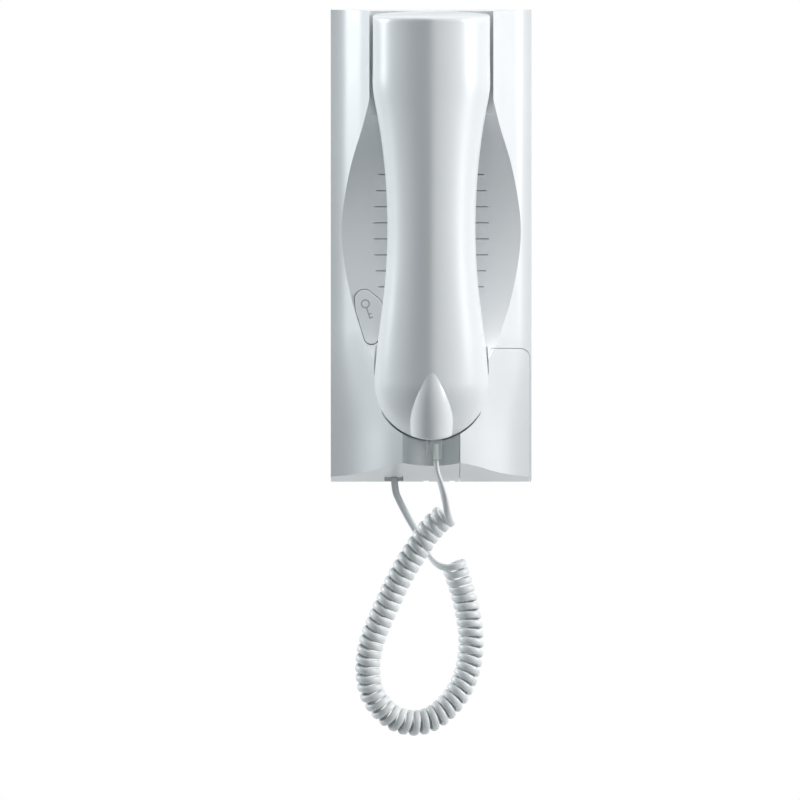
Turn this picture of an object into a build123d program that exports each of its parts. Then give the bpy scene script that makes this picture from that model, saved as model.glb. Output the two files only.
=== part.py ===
from build123d import *
import math
import os

# An audio intercom handset on its wall base, in millimetres. The origin is the centre of the wall
# face, +Z is up, +X is to the right seen from the room, and the front faces -Y.

os.makedirs("parts", exist_ok=True)

overrun = 10.0  # how far a cut runs past what it cuts
fit_gap = 0.3  # clearance between pieces that fit together
seam_gap = 0.25  # visible line between two moulded pieces

# Base housing
base_width = 89.0
base_height = 210.0
edge_depth = 8.5  # housing depth at its outer edges
ridge_depth = 30.0  # depth of the ridges beside the handset
foot_ridge_depth = 32.5  # depth of the ridges at the foot
cover_wall = 2.6
top_slope = 5.0
foot_slope = 15.0
bed_depth = 25.5  # floor of the handset bed, from the wall
bed_gap = 1.5  # gap between the ear end and the bed's sides
bed_end_gap = 0.8  # gap around the round lower end
bed_waist_height = -44.0  # the lower sides of the bed start here, under the scoop
bed_waist_draw = 1.0  # how much nearer they are there than at the round end
form_start = -50.0  # below this height the wings close in towards the channel
form_end = -84.0  # and here they have closed in
scoop_radius = 97.0  # finger scoop, a cylinder along X
scoop_floor = 11.0
scoop_height = 6.0
channel_width = 25.4  # cord channel under the handset
channel_sag = 5.3
ridge_follow_share = 0.5  # how much of the wall the inner ridge moves inwards
top_wing_shares = ((0.70, 0.13), (0.45, 0.35), (0.20, 0.62))  # width and rise, edge to ridge
foot_wing_shares = ((0.70, 0.16), (0.45, 0.43), (0.20, 0.80))
form_station_shares = (0, 0.15, 0.3, 0.45, 0.6, 0.75, 0.88, 1)  # from form_start to form_end

# Sounder slots in the scoop
slot_count = 8
slot_pitch = 7.1
slot_height = 0.7
slot_field_width = 51.0
slot_field_height = 122.0
slot_middle = 6.2

# Handset
handset_top_width = 51.6
handset_top = 102.2  # height of the top face at its back edge
handset_end_height = -61.2  # centre of the round lower end
handset_end_share = 0.965  # radius of the round end, of the half top width
handset_depth = 60.0  # front of the handset, from the wall
handset_wall = 2.2
handset_slope = 8.6
handset_corner = 2.0
dome_share = 0.97  # rise of the convex front, of the half width
grip_arch = 5.5  # how far the back rises over the scoop
back_bevel = 2.0
seam_depth = 35.0  # joint between the two shells, from the wall
handset_stations = (  # height, half width and back rise, as shares
    (0.83, 1.0, 0),
    (0.785, 0.996, 0),
    (0.74, 0.95, 0),
    (0.676, 0.876, 0.35),
    (0.591, 0.806, 0.85),
    (0.457, 0.752, 1.0),
    (0.336, 0.76, 1.0),
    (0.226, 0.818, 0.8),
    (0.105, 0.915, 0.25),
    (0, handset_end_share, 0),
)
handset_bands = 16  # straight bands that the grip is made of
dome_shares = ((0.93, 0.36), (0.76, 0.63), (0.42, 0.885), (0.15, 0.98))  # half width and rise
fairing_start = -57.0  # the cord fairing rises from the front here
fairing_stations = (  # height below its start, radius, front above the handset's front
    (0, 5.0, 0),
    (7.0, 8.0, 0.9),
    (29.1, 9.6, -1.5),
)

# Door button
button_gap = 0.3
button_proud = 0.5
button_body = 4.5  # thickness of the cap and its skirt
button_travel = 1.0
button_circles = ((-29.6, -24.1, 4.2), (-27.4, -28.2, 6.0), (-26.4, -40.9, 3.2))
button_tab_places = ((-28.5, -20.2, 5.0, 3.0), (-22.2, -37.0, 3.0, 5.0))
button_stem_radius = 1.7
button_switch_x = -27.8
button_switch_height = -35.5

# Accessory cover
panel_thickness = 1.3
panel_right = 43.6
panel_top = -46.0
panel_corner = 4.0
panel_lift = 0.1  # clearance to the wall under the panel

# Rear plate
plate_thickness = 2.5
plate_screw_spacing = 60.0
plate_screw_hole = 4.5
plate_screw_head = 9.0
plate_screw_middle = 5.5
wire_opening_width = 30.0
wire_opening_height = 14.0
wire_opening_middle = -12.0
release_notch_width = 2.4
release_notch_depth = 1.6
release_notch_places = (-2.2, 9.3)

# Main board
board_thickness = 1.6
board_depth = 10.0  # back of the board, from the wall
board_width = 52.0
board_bottom = -97.5
board_top = -48.0
board_ear_left = -33.0
board_ear_right = -20.0
board_ear_top = -30.0
board_screw_x = 22.0
board_screw_heights = (-52.0, -80.0)
board_hole = 3.0
post_radius = 3.2
post_pilot = 1.1
screw_radius = 1.0
screw_head_radius = 2.4
screw_head_height = 1.6
screw_slot = 0.6
screw_length = 6.5

# Parts on the main board
switch_size = 6.0
switch_height = 3.4
switch_bevel = 0.5
terminal_length = 30.0
terminal_depth = 8.0
terminal_height = 9.0
terminal_middle = -56.5
terminal_count = 6
terminal_screw_radius = 1.7
terminal_wire_hole = 2.6
terminal_bevel = 1.2
hook_height = -74.0
hook_switch_length = 12.8
hook_switch_width = 5.8
hook_switch_body = 5.5
plunger_radius = 2.2
plunger_flange_radius = 3.8
plunger_flange = 1.4
plunger_bore_gap = 0.25
transformer_size = 11.0
transformer_rise = 9.0
transformer_x = 16.0
transformer_place = -69.5
capacitor_radius = 3.2
capacitor_length = 7.0
capacitor_x = -14.0
capacitor_places = (-67.0, -80.5)

# Sounder
sounder_radius = 15.0
sounder_thickness = 4.0
sounder_step = 1.2
sounder_rim = 2.0
sounder_hole = 1.5
sounder_place = 14.0

# Modular plugs and jacks
plug_width = 7.65
plug_height = 5.0
plug_length = 16.0
plug_latch_rise = 2.1
plug_latch = 0.8
plug_latch_root_share = 0.12
plug_latch_tail_share = 0.88
plug_bevel = 0.6
jack_wall = 1.0
jack_length = 14.0
jack_gap = 0.35
handset_jack_x = 0.85
handset_jack_depth = 35.5
handset_jack_foot = -82.3
base_jack_x = -16.5

# Handset inner parts
hang_peg_width = 10.0
hang_peg_height = 3.0
hang_peg_place = 96.4
hang_peg_reach = 3.2
receiver_radius = 16.0
receiver_height = 77.0
receiver_thickness = 8.0
receiver_step = 3.0
receiver_back_radius = 11.0
gasket_thickness = 1.2
gasket_width = 3.0
ear_dish_radius = 19.0
ear_dish_depth = 0.7
ear_slot_count = 5
ear_slot_pitch = 4.2
ear_slot_height = 1.4
mic_radius = 4.85
mic_height = 5.0
mic_place = -60.0
mic_boot_wall = 1.6
mic_boot_floor = 1.2
mic_slot_count = 3
mic_slot_pitch = 3.0
mic_slot_length = 7.0
small_board_width = 22.0
small_board_top = -66.0
small_board_bottom = -77.5
handset_screw_heights = (41.0, -36.0)
handset_post_radius = 3.4
handset_post_ring = 2.0
handset_screw_length = 8.0

# Cord
lead_diameter = 2.6
lead_sides = 8
lead_reach = 6.0  # straight run before the curls
arc_share = 0.45  # how much of a run an arc takes
curl_diameter = 2.3  # across the corners of the curls' section
curl_sides = 3
coil_diameter = 11.4
coil_turns = 50
coil_start_angle = -45.0
handset_lead_points = (
    (1.9, -35.5, -95.0),
    (1.9, -35.5, -98.5),
    (3.7, -35.6, -104.0),
    (5.9, -35.2, -111.5),
)
base_lead_points = (
    (-16.5, -6.15, -103.5),
    (-16.5, -6.15, -108.0),
    (-13.6, -6.4, -114.5),
    (-9.6, -7.0, -122.0),
    (-4.6, -7.6, -130.0),
)
coil_points = (
    (6.6, -27.0, -119.4),
    (1.2, -26.5, -123.2),
    (-5.8, -25.6, -133.6),
    (-12.9, -24.4, -144.7),
    (-19.8, -23.0, -159.3),
    (-26.2, -21.6, -174.0),
    (-28.1, -20.6, -183.5),
    (-27.9, -19.8, -191.4),
    (-26.2, -19.0, -199.0),
    (-21.3, -18.0, -205.6),
    (-15.6, -17.0, -210.0),
    (-7.8, -16.0, -212.0),
    (0.4, -15.0, -210.0),
    (8.0, -14.0, -203.8),
    (13.2, -13.0, -196.2),
    (16.8, -12.2, -186.7),
    (18.0, -11.4, -175.3),
    (16.4, -10.6, -162.7),
    (13.3, -10.0, -150.9),
    (9.8, -9.6, -141.0),
)

# Worked out from the sizes above
half_width = base_width / 2
half_height = base_height / 2
handset_half = handset_top_width / 2
end_radius = handset_half * handset_end_share
handset_back = bed_depth + fit_gap
handset_length = handset_top - handset_end_height
channel_half = channel_width / 2
channel_radius = (channel_half**2 + channel_sag**2) / (2 * channel_sag)
channel_axis = foot_ridge_depth - channel_sag + channel_radius
scoop_axis = scoop_floor + scoop_radius
board_face = board_depth + board_thickness
bed_inner = bed_depth - cover_wall
back_inner = handset_back + handset_wall
fairing_reach = handset_depth + fairing_stations[1][2]
jack_height = plug_height + plug_latch_rise + 2 * (jack_gap + jack_wall)
jack_width = plug_width + 2 * (jack_gap + jack_wall)
base_jack_depth = board_depth - jack_height / 2
stem_foot = board_face + switch_height - 0.4
stem_top = board_face + switch_height + 2.5
top_tan = math.tan(math.radians(top_slope))
foot_tan = math.tan(math.radians(foot_slope))
handset_tan = math.tan(math.radians(handset_slope))


def save(piece, name):
    piece.label = name
    export_step(piece, f"parts/{name}.step")


def mix(start, end, share):
    return start + (end - start) * share


def eased(share):
    """A share of the way that starts and ends level."""
    near = min(max(share, 0), 1)
    return near * near * (3 - 2 * near)


# The base's outer form, and the same form drawn in by a wall


def base_section(height, inset):
    """A horizontal section of the base, with a spline for each wing."""
    closing = eased((form_start - height) / (form_start - form_end))
    edge_x, edge_y = half_width - inset, edge_depth - inset
    ridge_x = mix(handset_half + bed_gap, channel_half, closing) - ridge_follow_share * inset
    ridge_y = mix(ridge_depth, foot_ridge_depth, closing) - inset
    back = overrun if inset else 0
    wing = []
    for top, foot in zip(top_wing_shares, foot_wing_shares):
        across, rise = (mix(a, b, closing) for a, b in zip(top, foot))
        wing.append((mix(ridge_x, edge_x, across), -mix(edge_y, ridge_y, rise)))
    with BuildSketch(Plane.XY.offset(height)) as section:
        with BuildLine():
            right = Spline((edge_x, -edge_y), *wing, (ridge_x, -ridge_y))
            left = Spline((-edge_x, -edge_y), *((-x, y) for x, y in wing), (-ridge_x, -ridge_y))
            Line(right @ 1, left @ 1)
            Polyline(right @ 0, (edge_x, back), (-edge_x, back), left @ 0)
        make_face()
    return section.sketch


def base_form(inset):
    """The whole base between its sloping top and foot, without its hollows."""
    stations = [mix(form_start, form_end, share) for share in form_station_shares]
    stations.append(-half_height - overrun)
    with BuildPart() as form:
        loft([base_section(z, inset) for z in stations], ruled=True)
        extrude(base_section(form_start, inset), amount=half_height - form_start + overrun)
        top_plane = Plane((0, 0, half_height - inset), z_dir=(0, -top_tan, 1))
        foot_plane = Plane((0, 0, inset - half_height), z_dir=(0, foot_tan, 1))
        split(bisect_by=top_plane, keep=Keep.BOTTOM)
        split(bisect_by=foot_plane, keep=Keep.TOP)
    return form.part


def bed_cutter(grow):
    """What the handset bed removes: the handset's ends with a gap, down to the bed's floor."""
    side = handset_half + bed_gap + grow
    end = end_radius + bed_end_gap + grow
    waist = end - bed_waist_draw
    with BuildPart() as cutter:
        with BuildSketch(Plane.XZ.offset(bed_depth - grow)):
            with BuildLine():
                arc = ThreePointArc(
                    (end, handset_end_height),
                    (0, handset_end_height - end),
                    (-end, handset_end_height),
                )
                Polyline(
                    arc @ 1,
                    (-waist, bed_waist_height),
                    (-side, scoop_height),
                    (-side, half_height + overrun),
                    (side, half_height + overrun),
                    (side, scoop_height),
                    (waist, bed_waist_height),
                    arc @ 0,
                )
            make_face()
        extrude(amount=handset_depth)
    return cutter.part


def scoop_cutter(grow):
    """The cylinder of the finger scoop, along X."""
    with BuildPart() as cutter:
        with BuildSketch(Plane.YZ):
            with Locations((-scoop_axis, scoop_height)):
                Circle(scoop_radius + grow)
        extrude(amount=half_width + overrun, both=True)
    return cutter.part


def channel_cutter(grow):
    """The upright cylinder of the cord channel, from the bed to below the foot."""
    with BuildPart() as cutter:
        with BuildSketch(Plane.XY.offset(-half_height - overrun)):
            with Locations((0, -channel_axis)):
                Circle(channel_radius + grow)
        extrude(amount=half_height + overrun + handset_end_height)
    return cutter.part


def panel_block(gap, top_gap):
    """The accessory cover's outline, through the whole depth."""
    left, right = channel_half - gap, panel_right + gap
    low, high = -half_height - overrun, panel_top + top_gap
    with BuildPart() as block:
        with BuildSketch(Plane.XZ) as outline:
            with Locations(((left + right) / 2, (low + high) / 2)):
                Rectangle(right - left, high - low)
            corner = outline.vertices().group_by(Axis.Y)[-1].sort_by(Axis.X)[-1]
            fillet(corner, panel_corner + gap)
        extrude(amount=handset_depth)
    return block.part


def button_outline(gap):
    """The door button's outline, the hull of three circles."""
    with BuildSketch(Plane.XZ) as outline:
        for x, z, radius in button_circles:
            with Locations((x, z)):
                Circle(radius + gap)
        make_hull()
    return outline.sketch


base_outer = base_form(0)
bed_cut, bed_wall = bed_cutter(0), bed_cutter(cover_wall)
scoop_cut, scoop_wall = scoop_cutter(0), scoop_cutter(cover_wall)
channel_cut, channel_wall = channel_cutter(0), channel_cutter(cover_wall)

# Base cover
with BuildPart() as hollow:
    add(base_form(cover_wall))
    add(bed_wall, mode=Mode.SUBTRACT)
    add(scoop_wall, mode=Mode.SUBTRACT)
    add(channel_wall, mode=Mode.SUBTRACT)

with BuildPart() as panel_pocket:
    add(panel_block(seam_gap, seam_gap))
    add(base_form(panel_thickness + panel_lift), mode=Mode.SUBTRACT)

with BuildPart() as base_cover:
    add(base_outer)
    for cut in (bed_cut, scoop_cut, channel_cut, hollow.part, panel_pocket.part):
        add(cut, mode=Mode.SUBTRACT)
    # Opening and guide of the door button
    extrude(button_outline(button_gap), amount=handset_depth, mode=Mode.SUBTRACT)
    # Sounder slots, shorter towards the ends of their field
    with BuildSketch(Plane.XZ):
        for index in range(slot_count):
            drop = (index - (slot_count - 1) / 2) * slot_pitch
            share = math.sqrt(1 - (2 * drop / slot_field_height) ** 2)
            with Locations((0, slot_middle + drop)):
                Rectangle(slot_field_width * share, slot_height)
    extrude(amount=handset_depth, mode=Mode.SUBTRACT)
    # Peg that the handset hangs on
    with BuildSketch(Plane.XZ.offset(bed_depth)):
        with Locations((0, hang_peg_place)):
            Rectangle(hang_peg_width, hang_peg_height)
    extrude(amount=hang_peg_reach)
    # Bore of the hook plunger
    with BuildSketch(Plane.XZ):
        with Locations((0, hook_height)):
            Circle(plunger_radius + plunger_bore_gap)
    extrude(amount=handset_depth, mode=Mode.SUBTRACT)
    # Mouth of the base jack, and two release notches at the wall
    with BuildSketch(Plane.XY.offset(-half_height - overrun)):
        with Locations((base_jack_x, -base_jack_depth)):
            Rectangle(plug_width + 2 * jack_gap, plug_height + plug_latch_rise + 2 * jack_gap)
        for place in release_notch_places:
            with Locations((place, 0)):
                Rectangle(release_notch_width, 2 * release_notch_depth)
    extrude(amount=2 * overrun, mode=Mode.SUBTRACT)
save(base_cover.part, "base_cover")

# Accessory cover, a skin over its pocket
with BuildPart() as accessory_cover:
    add(base_outer)
    add(panel_block(0, 0), mode=Mode.INTERSECT)
    for cut in (base_form(panel_thickness), bed_cut, scoop_cut, channel_cut):
        add(cut, mode=Mode.SUBTRACT)
save(accessory_cover.part, "accessory_cover")

def disc(x, z, start, end, radius):
    """An upright disc between two depths from the wall."""
    with BuildPart() as piece:
        with BuildSketch(Plane.XZ.offset(start)):
            with Locations((x, z)):
                Circle(radius)
        extrude(amount=end - start)
    return piece.part


def block(x, z, width, height, start, end):
    """A box between two depths from the wall."""
    with BuildPart() as piece:
        with BuildSketch(Plane.XZ.offset(start)):
            with Locations((x, z)):
                Rectangle(width, height)
        extrude(amount=end - start)
    return piece.part


# Door button, a cap that follows the scoop and stands proud of it, with tabs behind the cover
with BuildPart() as button_tabs:
    with BuildSketch(Plane.XZ):
        for x, z, width, height in button_tab_places:
            with Locations((x, z)):
                Rectangle(width, height)
    extrude(amount=handset_depth)
    add(scoop_cutter(cover_wall + fit_gap), mode=Mode.SUBTRACT)

with BuildPart() as door_button:
    extrude(button_outline(0), amount=handset_depth)
    add(button_tabs.part)
    add(scoop_cutter(-button_proud), mode=Mode.SUBTRACT)
    add(scoop_cutter(button_body - button_proud), mode=Mode.INTERSECT)
    add(
        block(
            button_switch_x,
            button_switch_height,
            switch_size + 2 * button_travel,
            switch_size + 2 * button_travel,
            0,
            stem_top,
        ),
        mode=Mode.SUBTRACT,
    )
save(door_button.part, "door_button")

with BuildPart() as switch_stem:
    add(disc(button_switch_x, button_switch_height, stem_foot, stem_top, button_stem_radius))
save(switch_stem.part, "switch_stem")

with BuildPart() as button_switch:
    add(
        block(
            button_switch_x,
            button_switch_height,
            switch_size,
            switch_size,
            board_face,
            board_face + switch_height,
        )
    )
    chamfer(button_switch.edges().filter_by(Axis.Y), switch_bevel)
    add(
        disc(
            button_switch_x,
            button_switch_height,
            stem_foot - button_travel - fit_gap,
            stem_top,
            button_stem_radius + fit_gap / 2,
        ),
        mode=Mode.SUBTRACT,
    )
save(button_switch.part, "button_switch")

# Hook plunger and its switch
plunger_foot = board_face + hook_switch_body + fit_gap
with BuildPart() as hook_plunger:
    add(disc(0, hook_height, plunger_foot, plunger_foot + plunger_flange, plunger_flange_radius))
    add(disc(0, hook_height, plunger_foot + plunger_flange, bed_depth, plunger_radius))
    chamfer(hook_plunger.edges().sort_by(Axis.Y)[0], plunger_radius / 3)
save(hook_plunger.part, "hook_plunger")

with BuildPart() as hook_switch:
    top = board_face + hook_switch_body
    add(block(0, hook_height, hook_switch_length, hook_switch_width, board_face, top))
    chamfer(hook_switch.edges().filter_by(Axis.Y), switch_bevel)
save(hook_switch.part, "hook_switch")

# Rear plate with board posts, wall screw holes, wire opening and release tongues
plate_foot = cover_wall + fit_gap + plate_thickness * foot_tan - half_height
plate_top = half_height - cover_wall - fit_gap - plate_thickness * top_tan
plate_width = base_width - 2 * (cover_wall + fit_gap)
board_post_places = [(x, z) for x in (-board_screw_x, board_screw_x) for z in board_screw_heights]
base_jack_foot = cover_wall + fit_gap + board_depth * foot_tan - half_height
base_jack_top = base_jack_foot + jack_length

with BuildPart() as back_plate:
    with BuildSketch(Plane.XZ):
        with Locations((0, (plate_foot + plate_top) / 2)):
            Rectangle(plate_width, plate_top - plate_foot)
        with Locations((0, wire_opening_middle)):
            Rectangle(wire_opening_width, wire_opening_height, mode=Mode.SUBTRACT)
        with Locations((base_jack_x, (plate_foot + base_jack_top) / 2)):
            Rectangle(
                jack_width + 2 * fit_gap,
                base_jack_top - plate_foot + 2 * fit_gap,
                mode=Mode.SUBTRACT,
            )
        for place in release_notch_places:
            with Locations((place, plate_foot)):
                Rectangle(release_notch_width - 2 * fit_gap, 2 * cover_wall)
    extrude(amount=plate_thickness)
    # The tongues are thinner than the plate
    with BuildSketch(Plane.XZ.offset(release_notch_depth - fit_gap)):
        with Locations((0, plate_foot - cover_wall)):
            Rectangle(plate_width, 2 * cover_wall)
    extrude(amount=plate_thickness, mode=Mode.SUBTRACT)
    with BuildSketch(Plane.XZ.offset(plate_thickness)):
        with Locations(*board_post_places):
            Circle(post_radius)
    extrude(amount=board_depth - plate_thickness)
    with BuildSketch(Plane.XZ.offset(board_depth)):
        with Locations(*board_post_places):
            Circle(post_pilot)
    extrude(amount=plate_thickness - board_depth, mode=Mode.SUBTRACT)
    with Locations(Plane.XZ.offset(plate_thickness)):
        with Locations(
            (0, plate_screw_middle - plate_screw_spacing / 2),
            (0, plate_screw_middle + plate_screw_spacing / 2),
        ):
            Hole(plate_screw_hole / 2)
save(back_plate.part, "back_plate")

# Main board with an ear under the door button, and its screws
with BuildPart() as main_board:
    with BuildSketch(Plane.XZ.offset(board_depth)):
        with Locations((0, (board_bottom + board_top) / 2)):
            Rectangle(board_width, board_top - board_bottom)
        with Locations(((board_ear_left + board_ear_right) / 2, (board_ear_top + board_top) / 2)):
            Rectangle(board_ear_right - board_ear_left, board_ear_top - board_top)
        with Locations(*board_post_places):
            Circle(board_hole / 2, mode=Mode.SUBTRACT)
    extrude(amount=board_thickness)
save(main_board.part, "main_board")


def pan_screw(x, z, seat, length, towards_wall=True):
    """A pan head screw whose head sits on the seat depth."""
    tip, crown = (-length, screw_head_height) if towards_wall else (length, -screw_head_height)
    with BuildPart() as screw:
        add(disc(x, z, seat, seat + tip, screw_radius))
        add(disc(x, z, seat, seat + crown, screw_head_radius))
        with BuildSketch(Plane.XZ.offset(seat + crown)):
            with Locations((x, z)):
                Rectangle(2 * screw_head_radius, screw_slot)
        extrude(amount=-crown / 2, mode=Mode.SUBTRACT)
    return screw.part


board_screws = [pan_screw(x, z, board_face, screw_length) for x, z in board_post_places]
save(Compound(children=board_screws), "board_screws")

# Terminal block with a wire way and a screw well for each wire
terminal_pitch = terminal_length / terminal_count
terminal_places = [
    ((index - (terminal_count - 1) / 2) * terminal_pitch, terminal_middle)
    for index in range(terminal_count)
]
terminal_top = board_face + terminal_height
with BuildPart() as terminal_block:
    add(block(0, terminal_middle, terminal_length, terminal_depth, board_face, terminal_top))
    chamfer(terminal_block.edges().filter_by(Axis.X).group_by(Axis.Y)[0], terminal_bevel)
    with BuildSketch(Plane.XZ.offset(terminal_top)):
        with Locations(*terminal_places):
            Circle(terminal_screw_radius + fit_gap / 2)
    extrude(amount=-terminal_height / 2, mode=Mode.SUBTRACT)
    with BuildSketch(Plane.XY.offset(terminal_middle + terminal_depth / 2)):
        with Locations(*((x, -board_face - terminal_wire_hole) for x, z in terminal_places)):
            Rectangle(terminal_wire_hole, terminal_wire_hole)
    extrude(amount=-terminal_depth / 2, mode=Mode.SUBTRACT)
save(terminal_block.part, "terminal_block")

terminal_screws = []
for x, z in terminal_places:
    with BuildPart() as terminal_screw:
        seat = terminal_top - terminal_height / 2
        add(disc(x, z, seat, terminal_top - terminal_bevel, terminal_screw_radius))
        with BuildSketch(Plane.XZ.offset(terminal_top - terminal_bevel)):
            with Locations((x, z)):
                Rectangle(2 * terminal_screw_radius, screw_slot)
        extrude(amount=-screw_head_height / 2, mode=Mode.SUBTRACT)
    terminal_screws.append(terminal_screw.part)
save(Compound(children=terminal_screws), "terminal_screws")

# Transformer and capacitors on the board
board_components = [
    block(
        transformer_x,
        transformer_place,
        transformer_size,
        transformer_size,
        board_face,
        board_face + transformer_rise,
    )
]
for place in capacitor_places:
    capacitor_top = board_face + capacitor_length
    board_components.append(disc(capacitor_x, place, board_face, capacitor_top, capacitor_radius))
save(Compound(children=board_components), "board_components")

# Sounder on the plate, behind the slots
sounder_top = plate_thickness + sounder_thickness
with BuildPart() as sounder:
    rim_top = sounder_top - sounder_step
    add(disc(0, sounder_place, plate_thickness, rim_top, sounder_radius))
    add(disc(0, sounder_place, rim_top, sounder_top, sounder_radius - sounder_rim))
    vent = disc(0, sounder_place, rim_top, sounder_top, sounder_hole)
    add(vent, mode=Mode.SUBTRACT)
save(sounder.part, "sounder")


# Modular plugs, drawn from the side: the latch springs from the nose and rises towards the tail


def plug_side(plane):
    """The plug's side view, its tail at the plane's origin and its nose along the plane's y."""
    foot = -plug_height / 2
    root = plug_length * (1 - plug_latch_root_share)
    tail = plug_length * (1 - plug_latch_tail_share)
    rise = plug_height / 2 + plug_latch_rise
    with BuildSketch(plane) as side:
        with BuildLine():
            Polyline(
                (foot, 0),
                (plug_height / 2, 0),
                (plug_height / 2, root - plug_latch),
                (rise - plug_latch, tail),
                (rise, tail),
                (plug_height / 2 + plug_latch, plug_length - plug_bevel),
                (plug_height / 2, plug_length),
                (foot + plug_bevel, plug_length),
                (foot, plug_length - plug_bevel),
                close=True,
            )
        make_face()
    return side.sketch


def jack_body(plane, length):
    """A jack around a plug: a box with a mouth, its mouth at the plane."""
    with BuildPart() as jack:
        with BuildSketch(plane):
            Rectangle(jack_height, jack_width)
        extrude(amount=length)
        with BuildSketch(plane):
            Rectangle(jack_height - 2 * jack_wall, jack_width - 2 * jack_wall)
        extrude(amount=length - jack_wall, mode=Mode.SUBTRACT)
    return jack.part


base_body_depth = base_jack_depth + plug_latch_rise / 2
base_plug_tail = base_lead_points[0][2]
with BuildPart() as base_plug:
    side_plane = Plane((base_jack_x, -base_body_depth, base_plug_tail), (0, 1, 0), (1, 0, 0))
    extrude(plug_side(side_plane), amount=plug_width / 2, both=True)
save(base_plug.part, "base_plug")

with BuildPart() as base_jack:
    add(
        jack_body(
            Plane((base_jack_x, -base_jack_depth, base_jack_foot), (0, 1, 0), (0, 0, 1)),
            jack_length,
        )
    )
save(base_jack.part, "base_jack")


# The handset's outer form, and the same form drawn in by a wall


def dome_points(half, rise, front, side=1):
    """Points of the convex front, from its side towards the middle."""
    return [(side * half * across, -(front - rise + rise * up)) for across, up in dome_shares]


# The grip's half width and the rise of its back, over its height
grip_line = Spline(
    *(
        (width * handset_half, rise * grip_arch, handset_end_height + share * handset_length)
        for share, width, rise in handset_stations
    ),
    tangents=((0, 0, -1), (0, 0, -1)),
)
grip_places = [tuple(grip_line @ (band / handset_bands)) for band in range(handset_bands + 1)]


def handset_section(half, back_rise, height, inset):
    """A horizontal section of the handset: flat back with bevels, short sides and convex front."""
    half = half - inset
    front = handset_depth - inset
    rise = dome_share * half
    back = -(handset_back + back_rise + inset)
    shoulder = -(front - rise)
    with BuildSketch(Plane.XY.offset(height)) as section:
        with BuildLine():
            right = dome_points(half, rise, front)
            left = dome_points(half, rise, front, -1)
            front_line = Spline(
                (half, shoulder), *right, (0, -front), *reversed(left), (-half, shoulder)
            )
            Polyline(
                front_line @ 1,
                (-half, back - back_bevel),
                (back_bevel - half, back),
                (half - back_bevel, back),
                (half, back - back_bevel),
                front_line @ 0,
            )
        make_face()
    return section.sketch


def handset_form(inset):
    """The whole handset: lofted grip and ear end, a revolved lower end and a sloping top."""
    end = end_radius - inset
    front = handset_depth - inset
    rise = dome_share * end
    back = -(handset_back + inset)
    with BuildPart() as form:
        loft([handset_section(*place, inset) for place in grip_places], ruled=True)
        extrude(
            handset_section(*grip_places[0], inset),
            amount=handset_top + overrun - grip_places[0][2],
        )
        with BuildSketch(Plane.XY.offset(handset_end_height)):
            with BuildLine():
                dome = Spline(
                    (end, rise - front),
                    *dome_points(end, rise, front),
                    (0, -front),
                    tangents=((0, -1), (-1, 0)),
                )
                Polyline(
                    dome @ 1, (0, back), (end - back_bevel, back), (end, back - back_bevel), dome @ 0
                )
            make_face()
        axis = Axis((0, 0, handset_end_height), (0, 1, 0))
        revolve(axis=axis, revolution_arc=180)
        top_point = (0, -handset_back, handset_top - inset)
        split(bisect_by=Plane(top_point, z_dir=(0, -handset_tan, 1)), keep=Keep.BOTTOM)
    return form.part


# The fairing's round front, with straight sides down to the seam
with BuildPart() as fairing:
    for drop, radius, lift in fairing_stations:
        shoulder = handset_depth + lift - radius
        with BuildSketch(Plane.XY.offset(fairing_start - drop)):
            with BuildLine():
                crown = ThreePointArc(
                    (radius, -shoulder), (0, -shoulder - radius), (-radius, -shoulder)
                )
                Polyline(
                    crown @ 1, (-radius, -seam_depth), (radius, -seam_depth), crown @ 0
                )
            make_face()
    loft(ruled=True)
    add(disc(0, handset_end_height, 0, fairing_reach, end_radius), mode=Mode.INTERSECT)

handset_outer = handset_form(0)
handset_inner = handset_form(handset_wall)
jack_x = handset_jack_x
plug_x = jack_x + plug_latch_rise / 2
handset_post_start = handset_back + grip_arch + handset_wall + handset_post_ring
seam_plane = Plane((0, -seam_depth, 0), z_dir=(0, -1, 0))
jack_mouth = Plane((jack_x, -handset_jack_depth, handset_jack_foot), (-1, 0, 0), (0, 0, 1))

# Opening for the plug through the lower end
with BuildPart() as plug_mouth:
    with BuildSketch(jack_mouth):
        Rectangle(jack_height - 2 * jack_wall, jack_width - 2 * jack_wall)
    extrude(amount=overrun, both=True)

with BuildPart() as handset_front:
    add(handset_outer)
    add(fairing.part)
    add(handset_inner, mode=Mode.SUBTRACT)
    add(plug_mouth.part, mode=Mode.SUBTRACT)
    split(bisect_by=seam_plane, keep=Keep.TOP)
    for place in handset_screw_heights:
        add(disc(0, place, handset_post_start, handset_depth - handset_wall / 2, handset_post_radius))
        pilot_end = handset_post_start + handset_screw_length
        add(disc(0, place, handset_post_start, pilot_end, post_pilot), mode=Mode.SUBTRACT)
save(handset_front.part, "handset_front")

# Rings round the screws, inside the rear shell's form
with BuildPart() as screw_rings:
    for place in handset_screw_heights:
        add(disc(0, place, handset_back, handset_post_start, handset_post_radius + screw_radius))
    add(handset_outer, mode=Mode.INTERSECT)

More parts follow.
